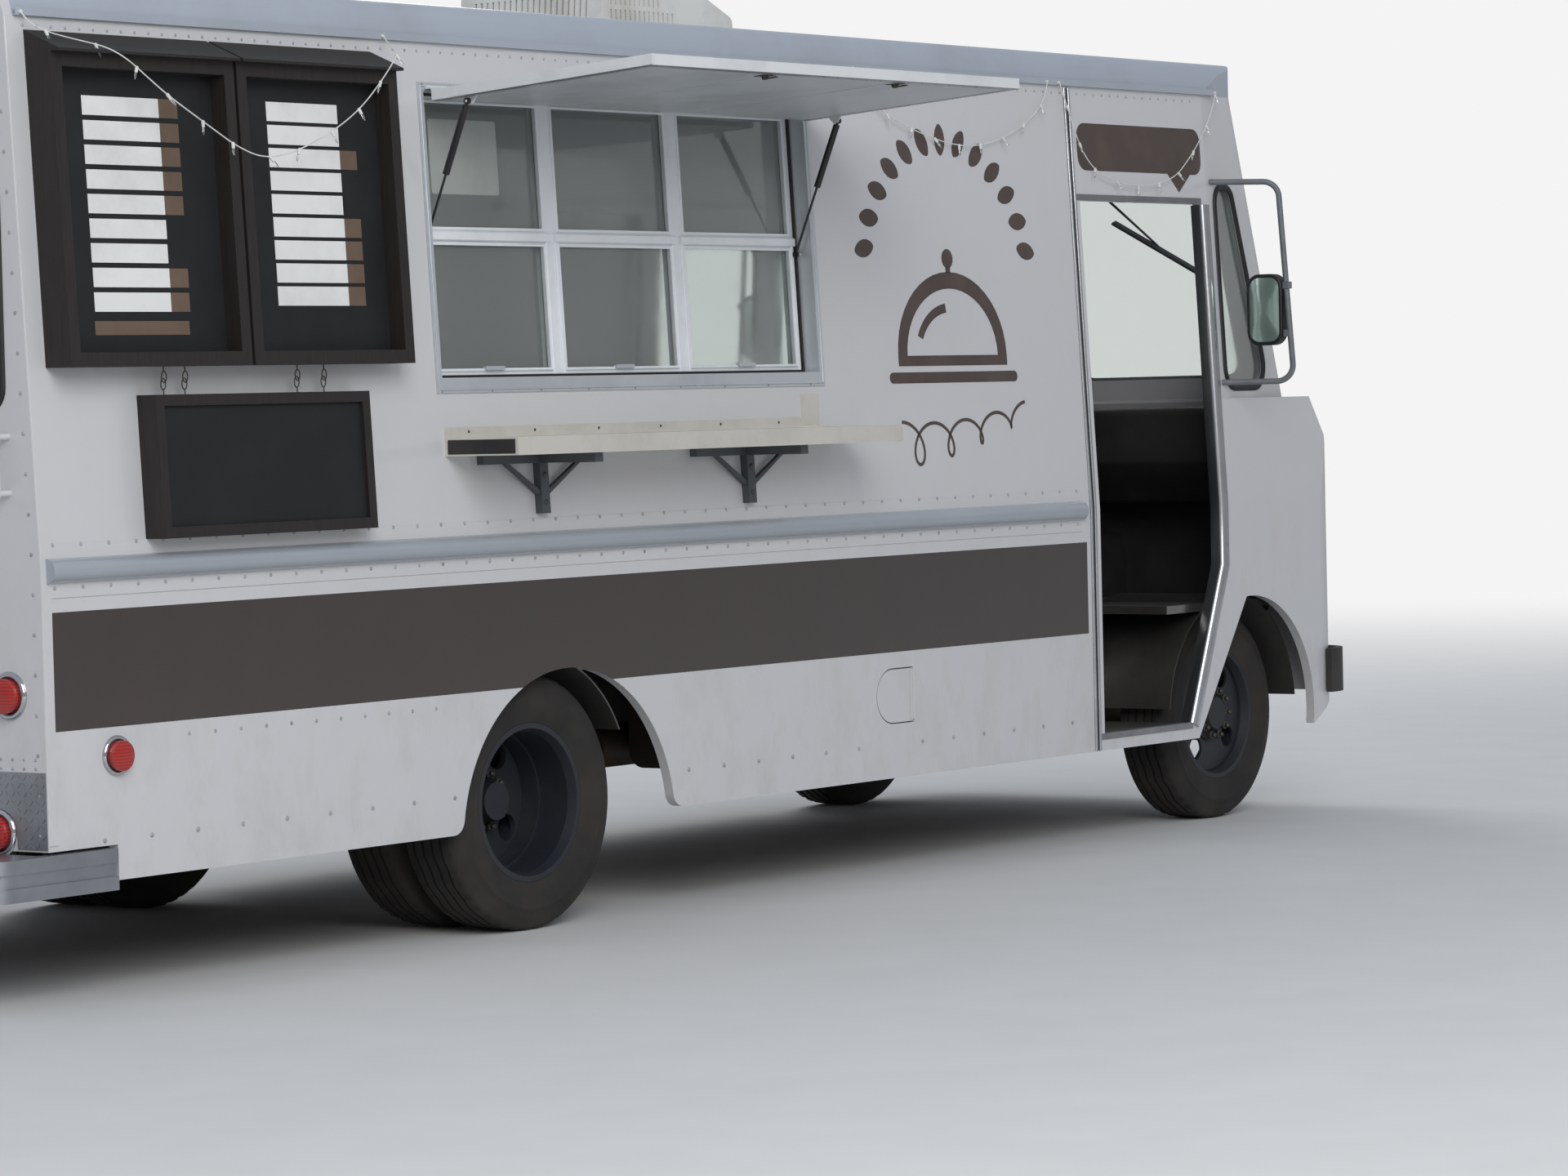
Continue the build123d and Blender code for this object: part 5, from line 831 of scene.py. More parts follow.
# Mirrors.
# A bent steel tube carries each head: a moulded black shell round a silvered glass that reads
# slightly green, set to look back along the truck.
mirror_steel, steel_tree, steel_shader = new_material("grey_tube_and_black_heads", Roughness=0.42)
steel_place = add_node(steel_tree, "TexCoord").outputs["Object"]
steel_split = add_node(steel_tree, "SeparateXYZ", {"Vector": steel_place})
steel_off = add_node(steel_tree, "Math", {0: steel_split.outputs["Y"], 1: middle_y}, operation="SUBTRACT")
steel_outer = add_node(steel_tree, "Math", {0: steel_off.outputs["Value"]}, operation="ABSOLUTE")
head_mask = times(steel_tree, inside_range(steel_tree, steel_outer.outputs["Value"], 1.120, 1.281),
                  inside_range(steel_tree, steel_split.outputs["Z"], 1.792, 2.068))
steel_wear = noise(steel_tree, steel_place, 30.0, 6.0)
tube_tone = mix(steel_tree, steel_wear, "#7C7F83", "#5C5D5F")
head_tone = mix(steel_tree, steel_wear, "#232426", "#303133")
steel_tone = mix(steel_tree, head_mask, tube_tone, head_tone)
connect(steel_tree, steel_shader, Base_Color=steel_tone)
finish_node("mirrors", mirror_steel)
mirror_glass, mirror_tree, mirror_shader = new_material("silvered_mirror_glass", Metallic=0.7)
mirror_place = add_node(mirror_tree, "TexCoord").outputs["Object"]
mirror_film = noise(mirror_tree, mirror_place, 18.0, 6.0)
mirror_tone = mix(mirror_tree, mirror_film, "#A6C2B4", "#CADBD1")
mirror_rough = ranged(mirror_tree, mirror_film, to_low=0.08, to_high=0.24)
connect(mirror_tree, mirror_shader, Base_Color=mirror_tone, Roughness=mirror_rough)
head_y, head_z, head_half_y, head_half_z, head_r = 1.203, 1.930, 0.075, 0.1325, 0.050
head_rear_x, head_front_x = 4.182, 4.218


def head_path(side, inset, radius):
    """Outline across the truck of one mirror head, inset from its edge."""
    return [(side * u, v) for u, v in rounded_rectangle(head_y - head_half_y + inset, head_y + head_half_y - inset,
                                                        head_z - head_half_z + inset, head_z + head_half_z - inset,
                                                        radius, 8)]


def loft_shape(rings, closed=False):
    """Rings of equal count joined in turn, with flat ends unless the last joins the first."""
    count, total = len(rings[0]), len(rings)
    faces = [(r * count + i, r * count + (i + 1) % count, (r + 1) % total * count + (i + 1) % count,
              (r + 1) % total * count + i) for r in range(total if closed else total - 1) for i in range(count)]
    if not closed:
        faces += [tuple(range(count)), tuple(range((total - 1) * count, total * count))]
    return [point for ring in rings for point in ring], faces


glass_crown = 0.009
shells, silver = [], []
for name, side in sides:
    rim = head_path(side, 0.006, head_r - 0.006)
    shells.append(strip_shape([at(head_rear_x, u, v) for u, v in rim], rearward, half_round(0.014, 0.005), closed=True))
    wall = head_path(side, -0.0015, head_r + 0.0015)
    inner = head_path(side, 0.004, head_r - 0.004)
    shells.append(loft_shape([[at(x, u, v) for u, v in outline] for x, outline in
                              ((head_rear_x - 0.001, inner), (head_rear_x - 0.001, wall),
                               (head_front_x + 0.001, wall), (head_front_x + 0.001, inner))], closed=True))
    edge = head_path(side, 0.011, head_r - 0.011)
    rings = [[at(head_rear_x + 0.0005, u, v) for u, v in edge]]
    for share in (1.0, 0.92, 0.8, 0.65, 0.5, 0.35, 0.2, 0.08):
        out = 0.002 + glass_crown * (1 - share ** 2)
        rings.append([at(head_rear_x - out, side * head_y + share * (u - side * head_y), head_z + share * (v - head_z))
                      for u, v in edge])
    silver.append(loft_shape(rings))
piece("mirror_shells", shells, grille_plastic, "body")
piece("mirror_glasses", silver, mirror_glass, "body")


# Serving window: its aluminium frame, the white sashes and their small parts.
# An extruded aluminium frame with a double channel, and six double-hung sashes of white vinyl
# with bevelled glazing beads, a meeting rail and a sash lift on each lower one.
window_metal = weathered("anodised_window_frame", "#C9CDD1", "#B6BABF", 0.34, scale=3.0, Metallic=0.45)
vinyl = weathered("extruded_white_vinyl", "#E6E9EC", "#D3D6D9", 0.32, scale=4.0, bump_strength=0.03)
finish_node("serving_frame", window_metal)
finish_node("sashes", vinyl)
window_x0, window_x1, window_z0, window_z1 = -0.420, 1.520, 1.700, 2.600
sheet_t, sill_rise, frame_depth = 0.005, 0.025, 0.066
outer_line = rectangle(window_x0 - 0.011, window_x1 + 0.011, window_z0 - 0.011, window_z1 + 0.011)
window_normal = side_normal(-1, 2.0)
channel = [strip_shape(serving(outer_line, 0.004), window_normal, half_round(0.006, 0.004),
                       closed=True)]
piece("window_frame_bead", channel, window_metal, "body")
sash_x0, sash_x1 = window_x0 + sheet_t, window_x1 - sheet_t
sash_z0, sash_z1 = window_z0 + sill_rise, window_z1 - sheet_t
gap_line = rectangle(sash_x0 + 0.004, sash_x1 - 0.004, sash_z0 + 0.004, sash_z1 - 0.004)
piece("sash_weather_strip", [strip_shape(serving(gap_line, -frame_depth), window_normal,
                                         flat_bar(0.008, 0.010), closed=True)], rubber, "body")
frame_screws = [dome_shape(side_point(-1, x, z, 0.004), window_normal, 0.004, 0.002)
                for z in (window_z0 - 0.017, window_z1 + 0.017) for x in places_along(window_x0, window_x1, 0.235)]
piece("window_frame_screws", frame_screws, aluminium, "body")
step_x, step_z, bar = (sash_x1 - sash_x0) / 3, (sash_z1 - sash_z0) / 2, 0.038
bead_section = [(-0.009, 0.0), (-0.009, 0.004), (-0.004, 0.006), (0.0, 0.004), (0.003, -0.010), (-0.004, -0.012)]
beads, lifts, meeting = [], [], []
for column in range(3):
    for row in range(2):
        x0 = sash_x0 + column * step_x + 0.8 * bar
        x1 = sash_x0 + (column + 1) * step_x - 0.8 * bar
        z0, z1 = sash_z0 + row * step_z + bar / 2, sash_z0 + (row + 1) * step_z - bar / 2
        corners = rectangle(x0, x1, z0, z1)
        beads.append(strip_shape(serving(corners, -frame_depth), window_normal,
                                 bead_section, closed=True))
    left, right_end = sash_x0 + column * step_x + 0.012, sash_x0 + (column + 1) * step_x - 0.012
    rail_z = sash_z0 + step_z
    meeting.append(strip_shape([side_point(-1, x, rail_z, -frame_depth) for x in (left, right_end)], window_normal,
                               flat_bar(0.028, 0.012, 0.003)))
    for x in (left + 0.012, right_end - 0.012):
        meeting.append(strip_shape([side_point(-1, x, z, -frame_depth) for z in (sash_z0 + 0.004, rail_z)],
                                   window_normal, flat_bar(0.014, 0.007, 0.002)))
    lift_x = (left + right_end) / 2
    lift = rounded_rectangle(lift_x - 0.045, lift_x + 0.045, sash_z0 + 0.022, sash_z0 + 0.034, 0.004, 3)
    lifts.append(slab_shape(serving(lift, -frame_depth), window_normal, 0.014))
piece("glazing_beads", beads, vinyl, "body")
piece("sash_meeting_rails", meeting, vinyl, "body")
piece("sash_lifts", lifts, window_metal, "body")
card_white = weathered("white_card", "#E2E2E0", "#C9C8C4", 0.7)
card_x0, card_x1, card_z0, card_z1 = -0.300, 0.020, 2.290, 2.520
card = rounded_rectangle(card_x0, card_x1, card_z0, card_z1, 0.010, 3)
piece("blank_window_card", [slab_shape(serving(card, -0.092), window_normal, 0.002)],
      card_white, "body", smooth=False)


# Hatch and its two gas struts.
# A panel of aluminium sheet over a welded frame, dull grey underneath where it faces the wall, its
# edges closed by a riveted bright channel; the struts are black enamelled barrels on steel rods.
hatch_grey = weathered("dull_hatch_underside", "#C6CACD", "#A4A8AB", 0.40, scale=2.0, Metallic=0.15)
hatch_bright = metal("riveted_edge_channel", "#C4C6CA", 0.26)
hatch_skin = weathered("painted_hatch_skin", "#DADCDD", "#C2C4C5", 0.32, scale=4.0, Coat_Weight=0.5)
finish_node("hatch", hatch_skin)
hinge_r, frame_proud, hatch_thick, hatch_tilt = 0.006, 0.004, 0.033, math.radians(3.8)
hatch_axis_z = window_z1 + 0.007
axis_out = frame_proud + 0.0003 + hinge_r
hatch_start, hatch_reach = 0.020, hatch_axis_z - window_z0 - sill_rise - 0.007
hatch_x0, hatch_x1 = window_x0 + 0.011, window_x1 - 0.011


def hatch_point(x, down, depth):
    """A point of the open hatch: along it, outward from its hinge, and below its top face."""
    out = axis_out + down * math.cos(hatch_tilt) + depth * math.sin(hatch_tilt)
    z = hatch_axis_z + down * math.sin(hatch_tilt) - depth * math.cos(hatch_tilt)
    return at(x, -(half_width - lean(hatch_axis_z) + out), z)


hatch_up = Vector((0, math.sin(hatch_tilt), math.cos(hatch_tilt)))
under = axis_out + hatch_thick
inner_rim, panels = 0.030, 3
under_sheets, ribs = [], []
panel_step = (hatch_x1 - hatch_x0 - 2 * inner_rim) / panels
for count in range(panels):
    x0 = hatch_x0 + inner_rim + count * panel_step
    corners = rectangle(x0, x0 + panel_step, hatch_start + inner_rim, hatch_reach - inner_rim)
    under_sheets.append(slab_shape([hatch_point(x, down, under) for x, down in corners], -hatch_up, 0.0012))
    if count:
        ribs.append(strip_shape([hatch_point(x0, down, under + 0.001) for down in (hatch_start + inner_rim,
                                                                                  hatch_reach - inner_rim)],
                                -hatch_up, flat_bar(0.030, 0.0012, 0.0004)))
piece("hatch_underside", under_sheets + ribs, hatch_grey, "hatch", smooth=False)
channel_half, channel_back = 0.014, 0.0146
edge_in = [hatch_point(x, down, under) for x, down in
           ((hatch_x0 + channel_half, hatch_start), (hatch_x0 + channel_half, hatch_reach - channel_back),
            (hatch_x1 - channel_half, hatch_reach - channel_back), (hatch_x1 - channel_half, hatch_start))]
channels = [strip_shape(edge_in, -hatch_up, flat_bar(0.028, 0.0020, 0.0008))]
hatch_rivets = [dome_shape(hatch_point(x, hatch_reach - 0.014, under + 0.002), -hatch_up, 0.004, 0.0022)
                for x in places_along(hatch_x0 + 0.04, hatch_x1 - 0.03, 0.075)]
hatch_rivets += [dome_shape(hatch_point(x, down, under + 0.002), -hatch_up, 0.004, 0.0022)
                 for x in (hatch_x0 + 0.014, hatch_x1 - 0.014) for down in places_along(0.08, hatch_reach - 0.05, 0.09)]
piece("hatch_edge_channel", channels, hatch_bright, "hatch", smooth=False)
piece("hatch_rivets", hatch_rivets, hatch_bright, "hatch")
latch_xs = (hatch_x0 + 0.62, hatch_x1 - 0.62)
hatch_latches = []
for x in latch_xs:
    plate = rectangle(x - 0.030, x + 0.030, hatch_reach - 0.075, hatch_reach - 0.035)
    hatch_latches.append(slab_shape([hatch_point(u, v, under) for u, v in plate], -hatch_up, 0.003))
    hatch_latches.append(turned_shape(hatch_point(x, hatch_reach - 0.055, under + 0.003), -hatch_up,
                                      [(0, 0.011), (0.008, 0.010), (0.011, 0.006)], 16))
    hatch_latches.append(strip_shape([hatch_point(x, hatch_reach - 0.055 + d, under + 0.010) for d in (-0.008, 0.045)],
                                     -hatch_up, flat_bar(0.012, 0.003)))
piece("hatch_cam_latches", hatch_latches, plated_steel, "hatch", smooth=False)
strut_enamel = weathered("black_strut_enamel", "#121214", "#2E2B29", 0.3)
rod_steel = metal("dark_plated_rod", "#4A4C50", 0.2, dull="#333438")
for name in ("front", "rear"):
    finish_node("strut_barrel_" + name, strut_enamel)
    finish_node("strut_rod_" + name, rod_steel)


# Shelf with its upstand, and the two brackets below it.
# Folded aluminium sheet, lighter in patches, on galvanised angle brackets; its warm beige tint is
# painted warm reflection, and the black plate on its rear end is painted shade.
# painted reflection: the warm beige tones of the shelf sheet stand in for a warm reflection
shelf_metal_painted_reflection = weathered("shelf_sheet_painted_warm_reflection", "#DDD9D0", "#C3BEB3", 0.30, scale=5.0, spread=(0.45, 0.9), Metallic=0.4)
galvanised = dusty("galvanised_angle", "#5F6468", "#4A4743", 0.5, metallic=0.5)
finish_node("shelf", shelf_metal_painted_reflection)
finish_node("shelf_brackets", galvanised)
shelf_z1, shelf_out = 1.542, 0.290
shelf_x0, shelf_x1 = window_x0, window_x1 + 0.050
# painted shade: a black plate on the shelf's rear end face stands in for the shade on that face
shelf_end_shade_outline = [at(shelf_x0, -(half_width - lean(1.5) + out), z)
        for out, z in rectangle(0.012, shelf_out - 0.012, shelf_z1 - 0.050, shelf_z1 - 0.006)]
piece("shelf_end_painted_shade", [slab_shape(shelf_end_shade_outline, rearward, 0.0015)], chassis_paint, "body", smooth=False)
upstand_screws = [dome_shape(side_point(-1, x, shelf_z1 + 0.018, 0.014), side_normal(-1, 1.5), 0.005, 0.0025)
                  for x in places_along(shelf_x0 + 0.10, 1.36, 0.315)]
bracket_bolts = [dome_shape(side_point(-1, x, z, 0.028), side_normal(-1, z), 0.009, 0.006, 6)
                 for x in (shelf_x0 + 0.430, shelf_x1 - 0.500) for z in (1.335, 1.420)]
piece("shelf_screws", upstand_screws + bracket_bolts, plated_steel, "body")


# Menu boards and the board hung below them.
# Softwood boxes brushed with black stain, so that the grain still shows, round painted chalk
# board; the rows are blank white cards with brown tags, and the lower board hangs on hooks.
board_stain, stain_tree, stain_shader = new_material("black_stained_softwood", Roughness=0.62)
grain_mm = 9.0
stain_place = add_node(stain_tree, "TexCoord").outputs["Object"]
grain_map = add_node(stain_tree, "Mapping", {"Vector": stain_place, "Scale": (1.0, 1.0, 0.06)})
grain = noise(stain_tree, grain_map.outputs["Vector"], 1000.0 / grain_mm, 5.0, Distortion=0.6)
stain_tone = mix(stain_tree, grain, "#0F0D0C", "#2B2420")
stain_bump = bumped(stain_tree, grain, 0.35, 0.0015)
connect(stain_tree, stain_shader, Base_Color=stain_tone, Normal=stain_bump)
finish_node("menu_boards", board_stain)
chalkboard = weathered("painted_chalkboard", "#0E0F10", "#1A1C1E", 0.7, scale=5.0)
brown_tag = weathered("brown_printed_card", "#6A5748", "#54453A", 0.6)
board_z0, board_z1, board_out, board_frame, board_recess = window_z0 + 0.070, drip_z - 0.103, 0.100, 0.040, 0.060
board_starts = ((-2.077, 0.727), (-1.338, 0.695))
notice = (-1.730, -0.830, 1.285, 1.690, 0.075, 0.032, 0.014)
sheets = []
for x0, width in board_starts:
    corners = rectangle(x0 + board_frame, x0 + width - board_frame, board_z0 + board_frame, board_z1 - board_frame)
    sheets.append(slab_shape(serving(corners, board_out - board_recess),
                             side_normal(-1, 2.0), 0.0015))
nx0, nx1, nz0, nz1, notice_out, notice_frame, notice_recess = notice
notice_corners = rectangle(nx0 + notice_frame, nx1 - notice_frame, nz0 + notice_frame, nz1 - notice_frame)
sheets.append(slab_shape(serving(notice_corners, notice_out - notice_recess),
                         side_normal(-1, 1.5), 0.0015))
piece("chalkboard_sheets", sheets, chalkboard, "body", smooth=False)
label_table = ((-1.912, -1.608, 0.076, 2.500, 0.0686, 0.054, (0, 1, 2, 3, 4, 7, 8)),
               (-1.161, -0.855, 0.074, 2.507, 0.0671, 0.056, (2, 5, 6, 7, 8)))
cards, tags = [], []
for x0, x1, tag_width, top_z, pitch, height, tagged in label_table:
    for row in range(9):
        z = top_z - row * pitch
        wobble = 0.002 * math.sin(3.1 * row)
        ends = [(x0 + wobble, x1 + wobble, cards)]
        if row in tagged:
            ends.append((x1 + wobble, x1 + tag_width + wobble, tags))
        for start, end, group in ends:
            outline = rectangle(start, end, z - height / 2, z + height / 2)
            group.append(slab_shape(serving(outline, board_out - board_recess + 0.0015),
                                    side_normal(-1, 2.0), 0.0008))
strip_outline = rectangle(-1.917, -1.540, 1.859, 1.898)
tags.append(slab_shape(serving(strip_outline, board_out - board_recess + 0.0015),
                       side_normal(-1, 2.0), 0.0008))
piece("blank_menu_cards", cards, card_white, "body", smooth=False)
piece("brown_price_tags", tags, brown_tag, "body", smooth=False)
hooks = []
for x in (-1.671, -1.585, -1.116, -1.001):
    for foot_z, out, way in ((board_z0, 0.055, 1), (nz1, 0.050, -1)):
        ring = []
        for step in range(16):
            angle = 2 * math.pi * step / 16
            centre = side_point(-1, x, foot_z - way * 0.030, out)
            ring.append(centre + Vector((0.010 * math.cos(angle), 0, 0.016 * math.sin(angle))))
        wire = oval(0.0020, 0.0020, 60)
        hooks.append(strip_shape(ring, Vector((0, -1, 0)), wire, closed=True))
        hooks.append(strip_shape([side_point(-1, x, foot_z + way * 0.004, out),
                                  side_point(-1, x, foot_z - way * 0.015, out)],
                                 Vector((0, -1, 0)), wire))
piece("board_hooks", hooks, plated_steel, "body")


# Film shapes on the body: the blank speech plate over the doorway and the emblem by the window.
# Cut vinyl film in the stripe's brown, laid flat on the paint. The emblem is a wreath of leaves
# over a covered dish, with a looped pen stroke below.
film_brown = weathered("cut_brown_vinyl", "#4B3F39", "#5B4E46", 0.42, scale=8.0)
film_rise = 0.0006
bubble = rounded_rectangle(3.180, 4.020, 2.440, 2.612, 0.050, 6)
tail = [(3.940, 2.441), (3.780, 2.441), (3.855, 2.372)]


def film_shape(outline):
    """A flat film cut to this outline on the serving side."""
    return slab_shape(serving(outline), side_normal(-1, 2.0), film_rise, 0.0)


def arc_points(centre, radii, start, end, step):
    """Points of an ellipse's arc between two angles in degrees."""
    count = max(1, round(abs(end - start) / step))
    return [(centre[0] + radii[0] * math.cos(math.radians(start + (end - start) * k / count)),
             centre[1] + radii[1] * math.sin(math.radians(start + (end - start) * k / count)))
             for k in range(count + 1)]


emblem = [film_shape(bubble), film_shape(tail)]
wreath_centre, wreath_r, leaf_count, wreath_half = (2.310, 2.020), 0.505, 13, 76
leaf_long, leaf_wide, leaf_tilt = 0.112, 0.062, 24
for count in range(leaf_count):
    turn = wreath_half - 2 * wreath_half * count / (leaf_count - 1)
    middle = (wreath_centre[0] + wreath_r * math.sin(math.radians(turn)),
              wreath_centre[1] + wreath_r * math.cos(math.radians(turn)))
    lean_over = math.radians(-turn + (leaf_tilt if turn < 0 else -leaf_tilt if turn > 0 else 0))
    leaf = [(leaf_wide / 2 * math.cos(math.radians(a)) * abs(math.cos(math.radians(a))) ** 0.3,
             leaf_long / 2 * math.sin(math.radians(a))) for a in range(0, 360, 20)]
    emblem.append(film_shape([(middle[0] + u * math.cos(lean_over) - v * math.sin(lean_over),
                               middle[1] + u * math.sin(lean_over) + v * math.cos(lean_over)) for u, v in leaf]))
cover_centre, cover_radii, cover_inner = (2.310, 1.775), (0.330, 0.290), (0.275, 0.232)
emblem.append(film_shape(arc_points(cover_centre, cover_radii, 0, 180, 8) + arc_points(cover_centre, cover_inner, 180,
                                                                                       0, 8)))
emblem.append(film_shape([(cover_centre[0] + u, cover_centre[1] + v) for u, v in
                          rectangle(-0.330, 0.330, -0.036, 0.000)]))
emblem.append(film_shape(arc_points(cover_centre, (0.222, 0.182), 98, 158, 6)
                         + arc_points(cover_centre, (0.190, 0.150), 158, 98, 6)))
emblem.append(film_shape(arc_points((cover_centre[0], cover_centre[1] + 0.336), (0.034, 0.034), 0, 340, 20)))
emblem.append(film_shape([(cover_centre[0] + u, cover_centre[1] + v) for u, v in
                          rectangle(-0.014, 0.014, 0.287, 0.308)]))
emblem.append(film_shape(arc_points((cover_centre[0] + 0.370, cover_centre[1] - 0.076), (0.019, 0.019), -90, 90, 20)
                         + arc_points((cover_centre[0] - 0.370, cover_centre[1] - 0.076), (0.019, 0.019), 90, 270, 20)))
flourish, loops = [], 4
for k in range(121):
    t = k / 120
    swing = 1 - 0.65 * t
    flourish.append(side_point(-1, 1.975 + 0.760 * t + 0.075 * swing * math.sin(2 * math.pi * loops * t),
                               1.470 + 0.110 * t * t + 0.078 * swing * math.cos(2 * math.pi * loops * t)))
emblem.append(strip_shape(flourish, side_normal(-1, 2.0), [(-0.006, 0.0), (-0.006, film_rise), (0.006, film_rise),
                                                           (0.006, 0.0)]))
piece("brown_film_shapes", emblem, film_brown, "body", smooth=False)


# Strings of lights along the serving side.
# White PVC twin flex with a small moulded socket and a clear glass lamp every hand's width, held
# to the gutter by clips: one swag in front of the menu boards, one by the emblem, one at the header.
flex_d, lamp_pitch, clip_out, clip_z = 0.004, 0.143, 0.020, 2.752
flex = weathered("white_pvc_flex", "#DADAD6", "#B9B8B2", 0.4, scale=30.0)
lamp_glass = glazing("small_clear_lamp_glass", "#F2F4F5", 0.05)
board_route = ((-2.100, clip_out, clip_z), (-2.086, 0.028, 2.722), (-2.035, 0.058, 2.694), (-1.965, 0.095, 2.675),
               (-1.885, 0.128, 2.657), (-1.822, 0.142, 2.626), (-1.757, 0.145, 2.582), (-1.671, 0.145, 2.528),
               (-1.583, 0.145, 2.483), (-1.494, 0.145, 2.438), (-1.405, 0.145, 2.393), (-1.300, 0.145, 2.362),
               (-1.180, 0.145, 2.378), (-1.060, 0.145, 2.420), (-0.940, 0.145, 2.474), (-0.845, 0.145, 2.534),
               (-0.768, 0.145, 2.600), (-0.705, 0.142, 2.658), (-0.652, 0.118, 2.693), (-0.618, 0.066, 2.714),
               (-0.600, clip_out, clip_z))
emblem_route = ((1.800, clip_out, clip_z), (1.826, 0.024, 2.712), (1.880, 0.024, 2.652), (1.965, 0.024, 2.602),
                (2.075, 0.022, 2.567), (2.200, 0.020, 2.537), (2.340, 0.020, 2.511), (2.480, 0.020, 2.505),
                (2.620, 0.020, 2.525), (2.750, 0.020, 2.565), (2.860, 0.022, 2.615), (2.930, 0.024, 2.668),
                (2.966, 0.024, 2.714), (2.985, clip_out, clip_z))
header_route = ((3.062, clip_out, clip_z), (3.078, 0.026, 2.700), (3.110, 0.028, 2.622), (3.150, 0.028, 2.540),
                (3.208, 0.026, 2.470), (3.300, 0.024, 2.420), (3.420, 0.024, 2.394), (3.560, 0.024, 2.388),
                (3.695, 0.024, 2.402), (3.805, 0.024, 2.432), (3.880, 0.026, 2.484), (3.950, 0.028, 2.542),
                (4.010, 0.030, 2.602), (4.060, 0.030, 2.662), (4.098, 0.026, 2.712), (4.125, clip_out, clip_z))
light_strings = (("board_lights", board_route, 1.80), ("emblem_lights", emblem_route, 1.34),
                 ("header_lights", header_route, 1.39))
flex_clips = []
for name, route, length in light_strings:
    line = bpy.data.curves.new(name, "CURVE")
    line.dimensions = "3D"
    spline = line.splines.new("NURBS")
    spline.points.add(len(route) - 1)
    for point, (x, out, z) in zip(spline.points, route):
        point.co = (*side_point(-1, x, z, out), 1.0)
    spline.order_u = 3
    spline.use_endpoint_u = True
    spline.resolution_u = 8
    string = bpy.data.objects.new(name, line)
    bpy.context.scene.collection.objects.link(string)
    way = [vertex.co.copy() for vertex in bpy.data.meshes.new_from_object(string).vertices]
    line.bevel_depth = flex_d / 2
    line.bevel_resolution = 3
    line.materials.append(flex)
    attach(string, "body")
    sockets, bulbs, travelled, due = [], [], 0.0, 0.6 * lamp_pitch
    for before, here in zip(way, way[1:]):
        travelled += (here - before).length
        if travelled < due:
            continue
        turn = 2.4 * len(sockets)
        hang = Vector((0.55 * math.sin(turn), -0.35 - 0.25 * math.cos(1.7 * turn), -1.0)).normalized()
        sockets.append(turned_shape(here - hang * 0.003, hang, [(0, 0.0030), (0.002, 0.0052), (0.019, 0.0048),
                                                               (0.021, 0.0038)], 10))
        bulbs.append(turned_shape(here + hang * 0.0175, hang, [(0, 0.0030), (0.009, 0.0036), (0.017, 0.0026),
                                                             (0.023, 0.0006)], 10))
        due += lamp_pitch
    socket_piece = piece(name + "_sockets", sockets, flex, "body")
    bulb_piece = piece(name + "_bulbs", bulbs, lamp_glass, "body")
    flex_clips += [turned_shape(end + Vector((0, 0.008, 0)), Vector((0, -1, 0)),
                                [(0, 0.006), (0.009, 0.006), (0.011, 0.004)], 10)
                   for end in (way[0], way[-1])]
piece("light_string_clips", flex_clips, flex, "body")


# Inside: kitchen units, floor, dashboard, engine cover, steering wheel and seat.
# Brushed stainless units and floor, a dashboard and engine cover in grained black vinyl, and a
# driver's seat of foam under stretched dark vinyl with welted seams.
stainless = metal("brushed_stainless_units", "#B3B4B5", 0.28, direction=(1.0, 1.0, 40.0))
finish_node("galley", stainless)
finish_node("floor", metal("worn_floor_plate", "#8C8B88", 0.42, dull="#5E5A54"))
cab_vinyl = weathered("grained_black_vinyl", "#1C1C1E", "#343230", 0.55, bump_strength=0.3, bump_scale=350.0)
for name in ("dashboard", "engine_cover", "steering_wheel"):
    finish_node(name, cab_vinyl)
seat_vinyl = weathered("stretched_seat_vinyl", "#232327", "#3A3838", 0.5, bump_strength=0.25, bump_scale=500.0)
cushion_low, cushion_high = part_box("seat_cushions")


def evaluated_mesh(made):
    """The piece's mesh with its modifiers carried out."""
    return bpy.data.meshes.new_from_object(made.evaluated_get(bpy.context.evaluated_depsgraph_get()))


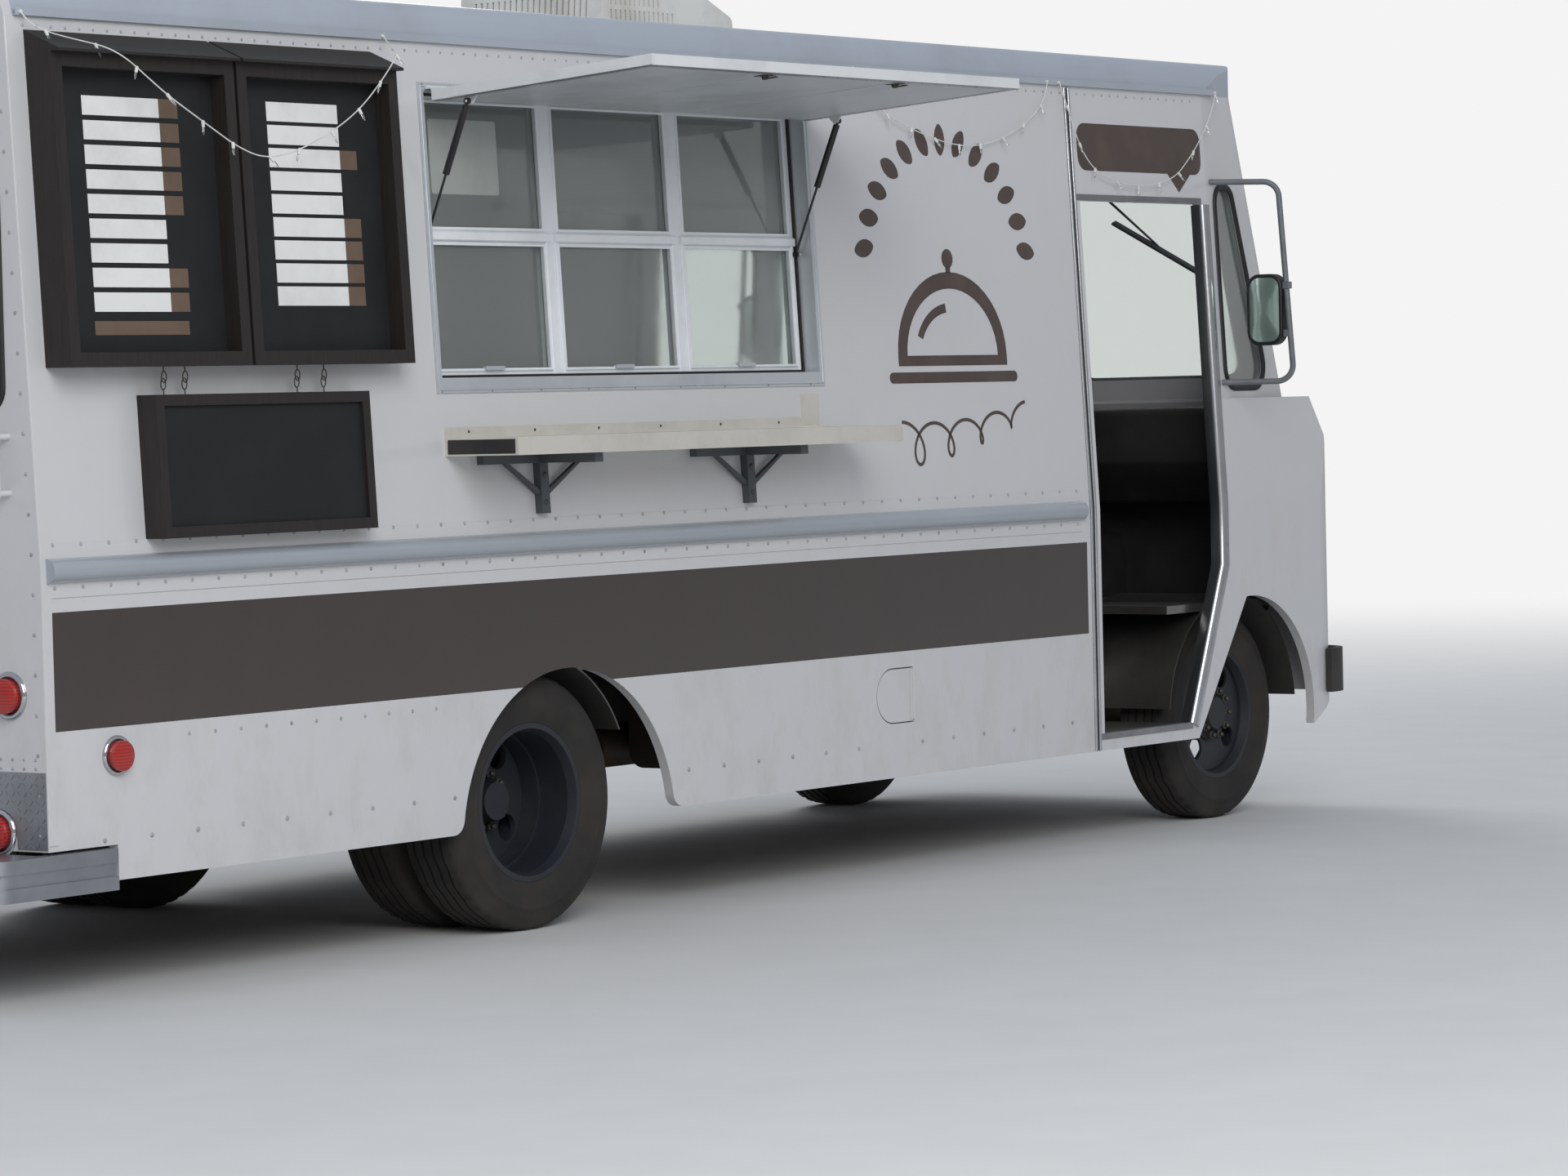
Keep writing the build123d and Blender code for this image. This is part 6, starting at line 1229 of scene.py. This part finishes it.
def cushion(name, low, high, thin, along, channels):
    """Foam pad between two corners: swollen as cloth, then pulled in along its sewn channels."""
    size = [high[i] - low[i] for i in range(3)]
    middle = [(high[i] + low[i]) / 2 for i in range(3)]
    wide = [i for i in range(3) if i != thin]
    half = [share / 2 - pad_start for share in size]
    points, faces = [], []
    for face_side in (-1, 1):
        for i in range(pad_steps + 1):
            for j in range(pad_steps + 1):
                u, v = 2 * i / pad_steps - 1, 2 * j / pad_steps - 1
                puff = (1 - abs(u) ** 6) ** 0.5 * (1 - abs(v) ** 6) ** 0.5
                place = [0.0, 0.0, 0.0]
                place[wide[0]] = middle[wide[0]] + u * half[wide[0]] * (0.97 + 0.03 * (1 - v * v))
                place[wide[1]] = middle[wide[1]] + v * half[wide[1]] * (0.97 + 0.03 * (1 - u * u))
                place[thin] = middle[thin] + face_side * half[thin] * puff
                points.append(Vector(place))
        first = 0 if face_side < 0 else (pad_steps + 1) ** 2
        faces += [(first + i * (pad_steps + 1) + j, first + (i + 1) * (pad_steps + 1) + j,
                   first + (i + 1) * (pad_steps + 1) + j + 1, first + i * (pad_steps + 1) + j + 1)
                  for i in range(pad_steps) for j in range(pad_steps)]
    made = piece(name, [(points, faces)], seat_vinyl, "body")
    merged = bmesh.new()
    merged.from_mesh(made.data)
    bmesh.ops.remove_doubles(merged, verts=merged.verts, dist=0.0004)
    bmesh.ops.recalc_face_normals(merged, faces=merged.faces)
    merged.to_mesh(made.data)
    merged.free()
    remesh = made.modifiers.new("remesh", "REMESH")
    remesh.mode = "VOXEL"
    remesh.voxel_size = pad_voxel
    made.data = evaluated_mesh(made)
    made.modifiers.clear()
    before = [vertex.co.copy() for vertex in made.data.vertices]
    cloth = made.modifiers.new("cloth", "CLOTH")
    cloth.settings.use_pressure = True
    cloth.settings.uniform_pressure_force = pad_pressure
    cloth.settings.effector_weights.gravity = 0.0
    for moment in range(1, pad_frames + 1):
        bpy.context.scene.frame_set(moment)
    swollen = evaluated_mesh(made)
    made.modifiers.clear()
    bpy.context.scene.frame_set(1)
    for vertex, start, end in zip(made.data.vertices, before, swollen.vertices):
        move = end.co - start
        vertex.co = start + move * min(1.0, pad_swell / max(move.length, 0.0001))
    for vertex in made.data.vertices:
        share = channels * (vertex.co[along] - low[along]) / size[along]
        seam = max(0.0, 1 - abs(share - round(share)) * size[along] / channels / seam_half)
        inside = 0.3 < share < channels - 0.3
        vertex.co[thin] -= seam_depth * seam * seam * (1 if vertex.co[thin] > middle[thin] else -1) * inside
        for i in range(3):
            vertex.co[i] = min(max(vertex.co[i], low[i]), high[i])
    made.data.materials.clear()
    made.data.materials.append(seat_vinyl)
    made.modifiers.new("round", "SUBSURF").levels = 1
    made.data = evaluated_mesh(made)
    made.modifiers.clear()
    made.data.shade_smooth()
    return made


pad_steps, pad_start, pad_swell, pad_voxel, pad_thick = 24, 0.009, 0.022, 0.006, 0.110
pad_pressure, pad_frames, seam_half, seam_depth = 4.0, 20, 0.012, 0.011
seat_split_z = cushion_low.z + pad_thick
base_cushion = cushion("seat_cushion", (cushion_low.x, cushion_low.y, cushion_low.z),
                       (cushion_high.x, cushion_high.y, seat_split_z), 2, 1, 4)
back_cushion = cushion("seat_back_pad", (cushion_low.x, cushion_low.y + 0.010, seat_split_z + 0.003),
                       (cushion_low.x + pad_thick, cushion_high.y - 0.010, cushion_high.z), 0, 1, 4)
for pad in (base_cushion, back_cushion):
    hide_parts("seat_cushions")
